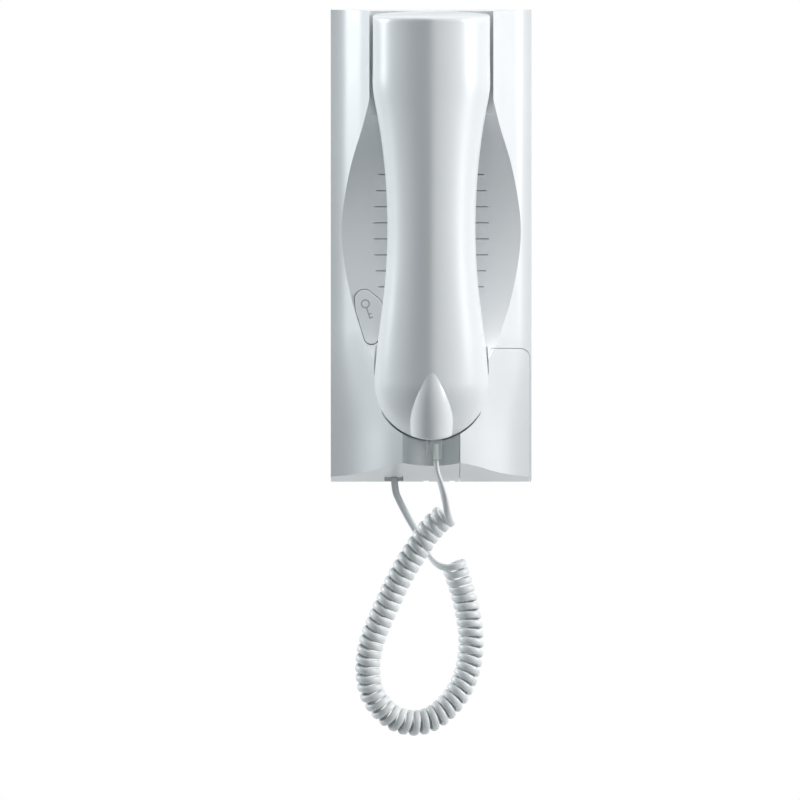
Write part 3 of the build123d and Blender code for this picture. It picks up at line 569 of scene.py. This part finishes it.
def base_form(name, inset):
    """The base's outer form without its cuts."""
    s = sizes_mm(bpy.context.scene.intercom_base)
    half_width, half_height = s["width"] / 2, s["height"] / 2
    start, end = CLOSING_HEIGHTS

    def section(z):
        closing = eased((start - z) / (start - end))
        edge_x, edge_y = half_width - inset, s["edge_depth"] - inset
        ridge_x = mix(RIDGE_SIDE, CHANNEL_SIDE, closing) - 0.5 * inset
        ridge_y = mix(s["ridge_depth"], s["foot_ridge_depth"], closing) - inset
        wing = [(edge_x, -edge_y)]
        for top, foot in zip(TOP_WING, FOOT_WING):
            across, rise = (mix(a, b, closing) for a, b in zip(top, foot))
            wing.append((mix(ridge_x, edge_x, across), -mix(edge_y, ridge_y, rise)))
        wing.append((ridge_x, -ridge_y))
        right = line_through(wing, 40)
        back = 10.0 if inset else 0.0
        ring = [(edge_x, back), *right, *[(-x, y) for x, y in reversed(right)], (-edge_x, back)]
        return [(x, y, z) for x, y in ring]

    above, below = 118.0, -112.0
    heights = [above, *np.arange(60, start, -20), *np.linspace(start, end, 48), below]
    form = ring_mesh(name, [section(z) for z in heights])
    for slope, way in ((TOP_SLOPE, 1), (FOOT_SLOPE, -1)):
        outwards = Vector((0, -math.tan(math.radians(slope)), way)).normalized()
        cut_off(form, (0, 0, way * (half_height - inset)), outwards)
    return form


def bed_form(name, grow):
    """The room that the handset lies in."""
    side, end = RIDGE_SIDE + grow, BED_END_RADIUS + grow
    waist = end - BED_WAIST_DRAW
    outline = arc(0, HANDSET_END, end, 0, -180, 160)
    outline += [(-waist, BED_WAIST), (-side, BED_SIDE_END), (-side, FAR)]
    outline += [(side, FAR), (side, BED_SIDE_END), (waist, BED_WAIST)]
    depth = bpy.context.scene.intercom_base.bed_depth * 1000
    return upright_prism(name, outline, depth - grow, PROUD)


def lying_cylinder(name, radius):
    """The finger scoop's cylinder, along X."""
    section = arc(-SCOOP_AXIS_DEPTH, SCOOP_HEIGHT, radius, -75, 75, 360)
    return ring_mesh(name, [[(x, y, z) for y, z in section] for x in (-55, 55)])


def standing_cylinder(name, grow):
    """The cord channel's cylinder, upright."""
    radius = (CHANNEL_SIDE**2 + CHANNEL_SAG**2) / (2 * CHANNEL_SAG)
    centre = bpy.context.scene.intercom_base.foot_ridge_depth * 1000 - CHANNEL_SAG + radius
    section = arc(0, -centre, radius + grow, 0, 180, 160)
    return ring_mesh(name, [[(x, y, z) for x, y in section] for z in (-FAR, HANDSET_END)])


def panel_prism(name, gap):
    """The accessory cover's outline, with one round corner."""
    left, right = CHANNEL_SIDE - gap, PANEL_RIGHT + gap
    top, corner = PANEL_TOP + gap, PANEL_CORNER + gap
    outline = [(left, -FAR), (right, -FAR)]
    outline += arc(right - corner, top - corner, corner, 0, 90, 12)
    outline.append((left, top))
    return upright_prism(name, outline, -1, PROUD)


def button_outline(gap):
    """The hull of three circles."""
    points = [p for x, z, r in BUTTON_CIRCLES for p in arc(x, z, r + gap, 0, 360, 90)[:-1]]
    points.sort()
    chains = []
    for run in (points, points[::-1]):
        chain = []
        for p in run:
            while len(chain) > 1 and (
                (chain[-1][0] - chain[-2][0]) * (p[1] - chain[-2][1])
                - (chain[-1][1] - chain[-2][1]) * (p[0] - chain[-2][0])
                <= 1e-9
            ):
                chain.pop()
            chain.append(p)
        chains += chain[:-1]
    return chains


def slot_tree():
    """Geometry nodes for the sounder slots: a column of bars, shorter towards its ends."""
    tree = bpy.data.node_groups.new("Sounder slots", "GeometryNodeTree")
    face = tree.interface
    for name, kind, value in (
        ("Slots", "Int", 8),
        ("Pitch", "Float", 0.0071),
        ("Slot height", "Float", 0.001),
        ("Width", "Float", 0.051),
        ("Field height", "Float", 0.122),
        ("Middle", "Float", 0.0062),
        ("Material", "Material", None),
    ):
        socket = face.new_socket(name, in_out="INPUT", socket_type=f"NodeSocket{kind}")
        if value is not None:
            socket.default_value = value
    face.new_socket("Geometry", in_out="OUTPUT", socket_type="NodeSocketGeometry")
    new, link = tree.nodes.new, tree.links.new
    given, result = new("NodeGroupInput"), new("NodeGroupOutput")
    count, pitch, height, widest, field, middle, material = given.outputs[:7]

    def math_node(operation, *values):
        node = new("ShaderNodeMath")
        node.operation = operation
        for socket, value in zip(node.inputs, values):
            if isinstance(value, (int, float)):
                socket.default_value = value
            else:
                link(value, socket)
        return node.outputs[0]

    index = new("GeometryNodeInputIndex").outputs[0]
    centre = math_node("MULTIPLY", math_node("SUBTRACT", count, 1), 0.5)
    drop = math_node("MULTIPLY", math_node("SUBTRACT", index, centre), pitch)
    share = math_node("DIVIDE", math_node("MULTIPLY", drop, 2), field)
    chord = math_node("SQRT", math_node("SUBTRACT", 1, math_node("MULTIPLY", share, share)))
    width = math_node("MULTIPLY", chord, widest)
    points = new("GeometryNodePoints")
    link(count, points.inputs["Count"])
    place = fill(new("ShaderNodeCombineXYZ"), Y=-0.02)
    link(math_node("ADD", drop, middle), place.inputs["Z"])
    link(place.outputs[0], points.inputs["Position"])
    bar = new("GeometryNodeMeshCube")
    bar_size = fill(new("ShaderNodeCombineXYZ"), X=1, Y=0.06)
    link(height, bar_size.inputs["Z"])
    link(bar_size.outputs[0], bar.inputs["Size"])
    copies = new("GeometryNodeInstanceOnPoints")
    scale = fill(new("ShaderNodeCombineXYZ"), Y=1, Z=1)
    link(width, scale.inputs["X"])
    link(points.outputs[0], copies.inputs["Points"])
    link(bar.outputs["Mesh"], copies.inputs["Instance"])
    link(scale.outputs[0], copies.inputs["Scale"])
    real, paint = new("GeometryNodeRealizeInstances"), new("GeometryNodeSetMaterial")
    link(copies.outputs[0], real.inputs[0])
    link(real.outputs[0], paint.inputs["Geometry"])
    link(material, paint.inputs["Material"])
    link(paint.outputs[0], result.inputs[0])
    return tree


def from_nodes(name, tree, values):
    """A plain mesh from a geometry node tree with these inputs."""
    piece = placed(name, bpy.data.meshes.new(name))
    modifier = piece.modifiers.new("nodes", "NODES")
    modifier.node_group = tree
    sockets = {s.name: s.identifier for s in tree.interface.items_tree if s.in_out == "INPUT"}
    for key, value in values.items():
        modifier[sockets[key]] = value
    return plain_mesh(piece)


def common_cuts(grow=0):
    """What is cut from the outer pieces of the base, or grown by a wall, from its hollow."""
    scoop = lying_cylinder("scoop", SCOOP_RADIUS + grow)
    return [bed_form("bed", grow), scoop, standing_cylinder("way", grow)]


class INTERCOM_OT_base_cover(bpy.types.Operator):
    """Build the front housing of the base"""

    bl_idname = "intercom.base_cover"
    bl_label = "Base cover"

    def execute(self, context):
        s = context.scene.intercom_base
        wall, bed = s.wall * 1000, s.bed_depth * 1000
        jack, reach = BASE_PLUG[0], PLUG_HALF + JACK_GAP
        hollow = carve(base_form("hollow", wall), common_cuts(wall))
        floor = base_form("pocket floor", POCKET_DEPTH)
        pocket = carve(panel_prism("pocket", PANEL_GAP), [floor])
        peg = box("peg", (-PEG_HALF, -PEG_FRONT, PEG_LOW), (PEG_HALF, 1 - bed, PEG_HIGH))
        cover = carve(base_form("base_cover_shell", 0), common_cuts())
        carve(cover, [hollow, pocket])
        values = {"Slots": s.slot_count, "Pitch": s.slot_pitch, "Slot height": s.slot_height}
        slots = from_nodes("slots", slot_tree(), {**values, "Material": finish("white ABS")})
        cutters = [
            slots,
            upright_prism("button way", button_outline(FIT), -1, PROUD),
            disc("plunger bore", 0, PLUNGER_HEIGHT, -1, PROUD, PLUNGER_BORE),
            box("jack mouth", (jack - reach, -9.0, -120), (jack + reach, -1.2, -92)),
        ]
        for x in NOTCHES:
            cutters.append(box("notch", (x - NOTCH_HALF, -1.6, -120), (x + NOTCH_HALF, 1, -95)))
        carve(cover, cutters)
        carve(cover, [peg], "UNION")
        smooth(cover, 28)
        dress(cover, finish("white ABS"), "housing", "base", "base_cover")
        return {"FINISHED"}


class INTERCOM_OT_accessory_cover(bpy.types.Operator):
    """Build the snap-in cover on the lower right wing"""

    bl_idname = "intercom.accessory_cover"
    bl_label = "Accessory cover"

    def execute(self, context):
        cover = base_form("accessory_cover_skin", 0)
        carve(cover, [panel_prism("panel", 0)], "INTERSECT")
        carve(cover, [base_form("panel back", PANEL_WALL), *common_cuts()])
        smooth(cover, 28)
        dress(cover, finish("white ABS"), "housing", "base", "accessory_cover")
        return {"FINISHED"}


def scoop_depth(z, proud):
    """Distance of the scoop's surface from the wall, raised by this much."""
    return SCOOP_AXIS_DEPTH - math.sqrt((SCOOP_RADIUS - proud) ** 2 - (z - SCOOP_HEIGHT) ** 2)


def ladder(ring, start):
    """Triangles from side to side across a loop that is long in z."""
    count, heights = len(ring), [v[2] for v in ring]
    top, low = heights.index(max(heights)), heights.index(min(heights))
    right = [(top + k) % count for k in range((low - top) % count + 1)]
    left = [(top - k) % count for k in range((top - low) % count + 1)]
    faces, i, j = [], 0, 0
    while i < len(right) - 1 or j < len(left) - 1:
        ahead = i < len(right) - 1
        if ahead and j < len(left) - 1:
            ahead = heights[right[i + 1]] > heights[left[j + 1]]
        following = right[i + 1] if ahead else left[j + 1]
        faces.append((right[i], following, left[j]))
        i, j = (i + 1, j) if ahead else (i, j + 1)
    return [tuple(start + k for k in face) for face in faces if len(set(face)) == 3]


def button_form(name):
    """The button's cap between two coaxial cylinders, with a rounded front edge."""
    full, insets = button_outline(0), (1.0, 2.0, 3.1)
    rows = [(inset, BUTTON_PROUD - BUTTON_THICKNESS) for inset in (*reversed(insets), 0.0)]
    for a in QUARTER:
        draw, drop = (BUTTON_ROUNDING * (1 - turn(a)) for turn in (math.cos, math.sin))
        rows.append((draw, BUTTON_PROUD - drop))
    rows += [(inset, BUTTON_PROUD) for inset in insets]
    rings = []
    for inset, proud in rows:
        outline, ring = button_outline(-inset), []
        for i, (x, z) in enumerate(outline):
            steps = max(1, round(math.dist(full[i - 1], full[i])))
            ring += [
                (mix(outline[i - 1][0], x, k / steps), mix(outline[i - 1][1], z, k / steps))
                for k in range(steps)
            ]
        rings.append([(x, -scoop_depth(z, proud), z) for x, z in ring])
    ends = ladder(rings[0], 0) + ladder(rings[-1], (len(rings) - 1) * len(rings[0]))
    return ring_mesh(name, rings, ends)


def key_sign(name):
    """A ring, a shaft and two teeth, as thin plates on the button."""
    middle, turns = Vector(SIGN_BOW), 48
    along = (Vector(SIGN_TIP) - middle).normalized()
    across = Vector((-along.y, along.x))
    outer, inner = (arc(*SIGN_BOW, radius, 0, 360, turns) for radius in SIGN_RADII)
    outlines = [(outer[i], outer[i + 1], inner[i + 1], inner[i]) for i in range(turns)]
    bars = [(start, start + 1.0, -SIGN_HALF, SIGN_HALF) for start in (1.9, 2.9, 3.9, 4.9, 5.9)]
    bars += [(4.6, 5.15, SIGN_HALF, 1.3), (6.3, 6.9, SIGN_HALF, 1.5)]
    for start, end, low, high in bars:
        corners = ((start, low), (end, low), (end, high), (start, high))
        outlines.append([middle + along * u + across * v for u, v in corners])
    vertices, faces = [], []
    for outline in outlines:
        faces += prism_faces(len(vertices), len(outline))
        for lift in SIGN_LIFTS:
            vertices += [(x, -scoop_depth(z, BUTTON_PROUD + lift), z) for x, z in outline]
    return mesh_object(name, vertices, faces, merge=0)


class INTERCOM_OT_door_button(bpy.types.Operator):
    """Build the door release button with its key sign"""

    bl_idname = "intercom.door_button"
    bl_label = "Door button"

    def execute(self, context):
        cap, (front, back) = button_form("door_button_cap"), TAB_DEPTHS
        for left, low, right, high in BUTTON_TABS:
            outline = [(left, low), (right, low), (right, high), (left, high)]
            tab = carve(upright_prism("tab", outline, 0, PROUD), [lying_cylinder("front", front)])
            carve(cap, [carve(tab, [lying_cylinder("back", back)], "INTERSECT")], "UNION")
        carve(cap, [box("switch room", *SWITCH_ROOM)])
        smooth(cap, 40)
        dress(cap, finish("white ABS"), "button", "door_button", "door_button")
        dress(key_sign("key_sign"), finish("sign ink"), "button", "door_button")
        return {"FINISHED"}


# The handset

# The front's curve from the right edge over the crown to the left edge
dome_line = line_through([*DOME, *[(-x, y) for x, y in reversed(DOME[:-1])]], 193)
station_heights, half_widths, back_rises = zip(*STATIONS)
half_at = smooth_through(station_heights, half_widths, level=True)
arch_at = smooth_through(station_heights, back_rises, level=True)


def handset_section(half, back, front):
    """Half a section, from the back's middle round the right side to the front's middle."""
    rise, bevel = DOME_RISE * half, BACK_ROUNDING
    shoulder = front - rise
    ring = [(x, back) for x in np.linspace(0, half - bevel, 7)[:-1]]
    ring += arc(half - bevel, back + bevel, bevel, -90, 0, 6)
    ring += [(half, d) for d in np.linspace(back + bevel, shoulder, 9)[1:-1]]
    ring += [(half * x, shoulder + rise * y) for x, y in dome_line[: len(dome_line) // 2 + 1]]
    return [(x, -d) for x, d in ring]


def fairing_form():
    """The cord fairing: a round front that grows downwards, with a rounded lower edge."""
    drops, radii, lifts = zip(*FAIRING)
    radius_at, lift_at = smooth_through(drops, radii), smooth_through(drops, lifts)
    front = bpy.context.scene.intercom_handset.depth * 1000
    rounding, start = FAIRING_ROUNDING, FAIRING_START
    rows = [(share, 0.0, 0.0) for share in np.linspace(0, 1, 60)]
    rows += [(1.0, rounding * math.sin(a), rounding * (1 - math.cos(a))) for a in QUARTER[1:]]
    rings, size = [], 73
    for share, past, draw in rows:
        drop = share * (drops[-1] - rounding) + past
        radius = float(radius_at(drop)) - draw
        shoulder = front + float(lift_at(drop)) - draw - radius
        crown, foot = [], []
        for x, depth in arc(0, shoulder, radius, 0, 180, size - 1):
            reach = start - HANDSET_END + math.sqrt(END_RADIUS**2 - x**2) - rounding
            z = start - share * reach - past
            crown.append((x, -depth, z))
            foot.append((x, -FAIRING_FOOT, z))
        rings.append(crown + foot[::-1])
    ends, around = [], 2 * size
    for first in (0, (len(rings) - 1) * around):
        last = first + around - 1
        ends += [(first + i, first + i + 1, last - i - 1, last - i) for i in range(size - 1)]
    return ring_mesh("fairing", rings, ends)


def handset_body():
    """The handset's whole outer skin as one closed mesh."""
    s = sizes_mm(bpy.context.scene.intercom_handset)
    back, front, top, round_by = s["back"], s["depth"], s["top"], s["edge_radius"]
    slope, widest = math.tan(math.radians(TOP_FACE_SLOPE)), STATIONS[-1][1]
    halves = []
    for z in np.linspace(HANDSET_END, ROWS_END, 150):
        section = handset_section(float(half_at(z)), back + float(arch_at(z)), front)
        halves.append([(x, y, z) for x, y in section])
    straight = handset_section(float(half_at(TOP_EDGE)), back, front)
    for lift, draw in ((1.0, 0.0), (0.5, 0.13), (0.13, 0.5), (0.0, 1.0), (0.0, 2.4)):
        ring = []
        for x, y in straight:
            away = Vector((x, y + SECTION_MIDDLE)).normalized() * draw * round_by
            nx, ny = x - (away.x if x > 1e-6 else 0), y - away.y
            crown = TOP_FACE_CROWN * (nx / widest) ** 2
            drop = (-ny - back) * slope + lift * round_by + crown
            ring.append((nx, ny, top + TOP_FACE_RISE - drop))
        halves.append(ring)
    rows = [ring + [(-x, y, z) for x, y, z in reversed(ring[1:-1])] for ring in halves]
    vertices, size = [v for row in rows for v in row], len(rows[0])
    faces = quads(len(rows), size) + [tuple(range(len(vertices) - size, len(vertices)))]
    # Round lower end
    profile, spokes = handset_section(float(half_at(HANDSET_END)), back, front), 150
    faces += quads(spokes + 1, len(profile), len(vertices), closed=False)
    for k in range(spokes + 1):
        a = math.pi * k / spokes
        vertices += [(x * math.cos(a), y, HANDSET_END - x * math.sin(a)) for x, y in profile]
    skin = mesh_object("handset_skin", vertices, faces, merge=2e-3)
    return carve(skin, [fairing_form()], "UNION")


def shell_of(skin, name, plane, outwards, wall):
    """Half of the skin with the wall's thickness."""
    shell = placed(name, skin.data.copy())
    cut_off(shell, (0, -plane, 0), outwards, close=False)
    thick = shell.modifiers.new("wall", "SOLIDIFY")
    thick.thickness = wall
    thick.offset = -1
    return plain_mesh(shell)


class INTERCOM_OT_handset(bpy.types.Operator):
    """Build the two shells of the handset"""

    bl_idname = "intercom.handset"
    bl_label = "Handset shells"

    def execute(self, context):
        s = context.scene.intercom_handset
        seam = s.seam * 1000
        skin = handset_body()
        front = shell_of(skin, "handset_front_shell", seam + SEAM_GAP, (0, 1, 0), s.wall)
        rear = shell_of(skin, "handset_rear_shell", seam - SEAM_GAP, (0, -1, 0), s.wall)
        bpy.data.objects.remove(skin, do_unlink=True)
        mouth = box("plug mouth", *PLUG_MOUTH)
        carve(front, [mouth], keep=True)
        cutters = [mouth, disc("ear dish", 0, EAR_HEIGHT, BEHIND, EAR_FLOOR, EAR_RADIUS, 128)]
        for z, lift in SCREWS:
            carve(rear, [disc("ring", 0, z, RING_START + lift, RING_END, SCREW_RING)], "UNION")
            cutters.append(disc("head well", 0, z, BEHIND, HEAD_SEAT, SCREW_HEAD))
            cutters.append(disc("bore", 0, z, BEHIND, 40, SCREW_BORE))
        openings = [(z, MOUTH_HALF) for z in MOUTH_HEIGHTS]
        for drop in (index * EAR_PITCH for index in range(-2, 3)):
            openings.append((EAR_HEIGHT + drop, math.sqrt(EAR_SLOTS_RADIUS**2 - drop**2)))
        for z, half in openings:
            low, high = z - OPENING_HALF, z + OPENING_HALF
            cutters.append(box("opening", (-half, -30, low), (half, -BEHIND, high)))
        side, low, high = PEG_HALF + FIT, PEG_LOW - FIT, PEG_HIGH + FIT
        cutters.append(box("peg way", (-side, -29, low), (side, -BEHIND, high)))
        carve(rear, cutters)
        for shell, node in ((front, "handset_front"), (rear, "handset_back")):
            smooth(shell, 34)
            dress(shell, finish("white ABS"), "housing", "handset", node)
        return {"FINISHED"}


# Plugs and cord


def plug_mesh(name, x, y, z, latch):
    """A modular plug from the side profiles of its body and its latch, nose up."""
    body = [(-2.5, 0.0), (2.5, 0.0), (2.5, 15.4), (1.9, 16.0), (-1.9, 16.0), (-2.5, 15.4)]
    tongue = [(2.4, 13.3), (3.8, 1.92), (4.6, 1.92), (3.3, 15.2), (2.4, 15.2)]
    vertices, faces = [], []
    for profile, half in ((body, PLUG_HALF), (tongue, TONGUE_HALF)):
        faces += prism_faces(len(vertices), len(profile))
        for side in (-half, half):
            for across, up in profile:
                if latch == "left":
                    vertices.append((x - across, y + side, z + up))
                else:
                    vertices.append((x + side, y + across, z + up))
    piece = mesh_object(name, vertices, faces)
    edge = piece.modifiers.new("edge", "BEVEL")
    edge.width = PLUG_EDGE * MM
    edge.segments = 2
    return smooth(plain_mesh(piece), 25)


def route(name, points):
    """Points along a smooth line that follows the given ones."""
    data = bpy.data.curves.new(name, "CURVE")
    data.dimensions = "3D"
    data.resolution_u = 24
    spline = data.splines.new("NURBS")
    spline.points.add(len(points) - 1)
    for point, place in zip(spline.points, points):
        point.co = (*[c * MM for c in place], 1)
    spline.order_u = 3
    spline.use_endpoint_u = True
    holder = placed(name, data)
    found = np.array([tuple(v.co) for v in final_mesh(holder).vertices]) / MM
    bpy.data.objects.remove(holder, do_unlink=True)
    return found


def evenly(points, count):
    """The line again, in points that lie evenly along it."""
    along = run_of(points)
    places = np.linspace(0, along[-1], count)
    return np.stack([np.interp(places, along, axis) for axis in points.T], axis=1)


def unit(v):
    """The direction of a vector."""
    return v / np.linalg.norm(v)


def helix_round(line, radius, turns, start_angle=-45, per_turn=28):
    """The curls round a line, with the line's direction at each point."""
    line = evenly(line, turns * per_turn + 1)
    ways = np.gradient(line, axis=0)
    normal = np.array((1.0, 0, 0))
    points, axes = [], []
    for i, (place, way) in enumerate(zip(line, ways)):
        way = unit(way)
        normal = unit(normal - way * normal.dot(way))
        across = np.cross(normal, way)
        angle = math.radians(start_angle) + 2 * math.pi * i / per_turn
        points.append(place + (normal * math.cos(angle) + across * math.sin(angle)) * radius)
        axes.append(way)
    return np.array(points), np.array(axes)


class INTERCOM_OT_cord(bpy.types.Operator):
    """Build the curly cord with its two modular plugs"""

    bl_idname = "intercom.cord"
    bl_label = "Curly cord and plugs"

    def execute(self, context):
        s = context.scene.intercom_cord
        thick, wide = s.thickness * 500, s.width * 500
        radius = s.coil * 500 - thick
        curls, axes = helix_round(route("coil", COIL), radius, s.turns)
        first, last = unit(curls[1] - curls[0]), unit(curls[-1] - curls[-2])
        lead_in = route("lead in", [*HANDSET_LEAD, curls[0] - first * 5.0, curls[0]])
        lead_out = route("lead out", [*BASE_LEAD, curls[-1] + last * 6.5, curls[-1]])[::-1]
        lead_in, lead_out = evenly(lead_in, 50)[:-1], evenly(lead_out, 70)[1:]
        path = np.concatenate([lead_in, curls, lead_out])
        flat = [mix(np.array((0, 1.0, 0)), axes[0], eased(i / 49)) for i in range(49)]
        flat += list(axes)
        flat += [mix(axes[-1], np.array((-1.0, 0, 0)), eased(i / 40)) for i in range(69)]
        ways = np.gradient(path, axis=0)
        round_shape = arc(0, 0, 1, 0, 360, 16)[:-1]
        shape = [[np.sign(v) * abs(v) ** 0.8 for v in point] for point in round_shape]
        rings = []
        for place, way, side in zip(path, ways, flat):
            way = unit(way)
            side = unit(side - way * side.dot(way))
            up = np.cross(way, side)
            rings.append([place + side * wide * c + up * thick * d for c, d in shape])
        cord = smooth(ring_mesh("curly_cord_jacket", rings), 50)
        cord.data.materials.append(finish("cord PVC"))
        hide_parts("handset_lead", "curly_cord", "base_lead")
        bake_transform(cord)

        clear = finish("clear polycarbonate")
        plug = plug_mesh("handset_plug_body", *HANDSET_PLUG, "left")
        dress(plug, clear, "clear_plug", "handset", "handset_plug")
        plug = plug_mesh("base_plug_body", *BASE_PLUG, "wall")
        dress(plug, clear, "clear_plug", "base", "base_plug")
        return {"FINISHED"}


class INTERCOM_OT_inner_parts(bpy.types.Operator):
    """Give the rear plate and the inner parts their materials"""

    bl_idname = "intercom.inner_parts"
    bl_label = "Rear plate and inner parts"

    def execute(self, context):
        finishes = {
            "white ABS rear": ["back_plate"],
            "white acetal": ["switch_stem", "hook_plunger"],
            "solder mask": ["main_board", "handset_board"],
            "black moulding": ["button_switch", "hook_switch", "sounder", "board_components"],
            "jack moulding": ["base_jack", "handset_jack"],
            "green polyamide": ["terminal_block"],
            "zinc plate": ["board_screws", "terminal_screws", "handset_screws"],
            "pressed aluminium": ["ear_receiver", "mic_capsule"],
            "foam": ["ear_gasket"],
            "boot rubber": ["mic_boot"],
        }
        for name, nodes in finishes.items():
            for node in nodes:
                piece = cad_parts[node]
                for slot in piece.material_slots:
                    slot.link = "OBJECT"
                    slot.material = finish(name)
        return {"FINISHED"}


class INTERCOM_OT_stage(bpy.types.Operator):
    """Set the floor, the studio light and the camera"""

    bl_idname = "intercom.stage"
    bl_label = "Stage"

    def execute(self, context):
        scene = context.scene
        side, deep, low = 700, 800, -800
        corners = [(-side, -deep, low), (side, -deep, low), (side, deep, low), (-side, deep, low)]
        floor = mesh_object("floor", corners, [(0, 1, 2, 3)])
        material, tree, shader = node_material("pale floor")
        fill(shader, Base_Color=(0.86, 0.86, 0.86, 1), Roughness=0.8)
        floor.data.materials.append(material)

        def lamp(name, place, power, colour=(1, 1, 1)):
            light = bpy.data.lights.new(name, "AREA")
            light.shape = "DISK"
            light.size = 0.7
            light.energy = power
            light.color = colour
            holder = placed(name, light)
            holder.location = place
            aim = Vector((0, 0, -0.03)) - Vector(place)
            holder.rotation_euler = aim.to_track_quat("-Z", "Y").to_euler()

        lamp("right soft box", (1.55, -0.34, 0.46), 24)
        lamp("left soft box", (-1.55, 0.32, 0.5), 23, (0.93, 0.97, 1.0))
        lamp("overhead", (0.1, -0.5, 1.55), 12)

        world = bpy.data.worlds.new("studio")
        scene.world = world
        world.use_nodes = True
        tree = world.node_tree
        tree.nodes.clear()
        new, link = tree.nodes.new, tree.links.new
        rays = new("ShaderNodeLightPath")
        seen = rays.outputs["Is Camera Ray"]
        for ray in ("Is Transmission Ray", "Is Glossy Ray"):
            either = new("ShaderNodeMath")
            either.operation = "MAXIMUM"
            link(seen, either.inputs[0])
            link(rays.outputs[ray], either.inputs[1])
            seen = either.outputs[0]
        light = fill(new("ShaderNodeBackground"), Color=(0.74, 0.86, 0.93, 1), Strength=0.17)
        white = fill(new("ShaderNodeBackground"), Color=(1, 1, 1, 1), Strength=1.0)
        choice, output = new("ShaderNodeMixShader"), new("ShaderNodeOutputWorld")
        link(seen, choice.inputs["Fac"])
        link(light.outputs[0], choice.inputs[1])
        link(white.outputs[0], choice.inputs[2])
        link(choice.outputs[0], output.inputs["Surface"])

        camera = placed("camera", bpy.data.cameras.new("camera"))
        distance, field, aside, lift = 3.0, 0.3556, -0.0138, -0.0687
        camera.location = (aside, -distance, lift)
        camera.rotation_euler = (math.radians(90), 0, 0)
        camera.data.lens = camera.data.sensor_width * distance / field
        scene.camera = camera
        scene.view_settings.view_transform = "Standard"
        return {"FINISHED"}


class INTERCOM_PT_panel(bpy.types.Panel):
    """The sizes, the finishes and a button for each piece"""

    bl_label = "Intercom"
    bl_idname = "INTERCOM_PT_panel"
    bl_space_type = "VIEW_3D"
    bl_region_type = "UI"
    bl_category = "Intercom"

    def draw(self, context):
        for name in GROUPS:
            group, column = getattr(context.scene, name), self.layout.column(align=True)
            for key in group.__annotations__:
                column.prop(group, key)
        for operator in OPERATORS:
            self.layout.operator(operator.bl_idname)


GROUPS = {
    "intercom_base": BaseSizes,
    "intercom_handset": HandsetSizes,
    "intercom_cord": CordSizes,
    "intercom_finishes": Finishes,
}
OPERATORS = (
    INTERCOM_OT_stage,
    INTERCOM_OT_cord,
    INTERCOM_OT_base_cover,
    INTERCOM_OT_accessory_cover,
    INTERCOM_OT_door_button,
    INTERCOM_OT_handset,
    INTERCOM_OT_inner_parts,
)


def register():
    for name, group in GROUPS.items():
        bpy.utils.register_class(group)
        setattr(bpy.types.Scene, name, bpy.props.PointerProperty(type=group))
    for operator in OPERATORS:
        bpy.utils.register_class(operator)
    bpy.utils.register_class(INTERCOM_PT_panel)


def unregister():
    bpy.utils.unregister_class(INTERCOM_PT_panel)
    for operator in reversed(OPERATORS):
        bpy.utils.unregister_class(operator)
    for name, group in reversed(GROUPS.items()):
        delattr(bpy.types.Scene, name)
        bpy.utils.unregister_class(group)


def main():
    register()
    for operator in OPERATORS:
        group, action = operator.bl_idname.split(".")
        getattr(getattr(bpy.ops, group), action)()


if __name__ == "__main__":
    main()
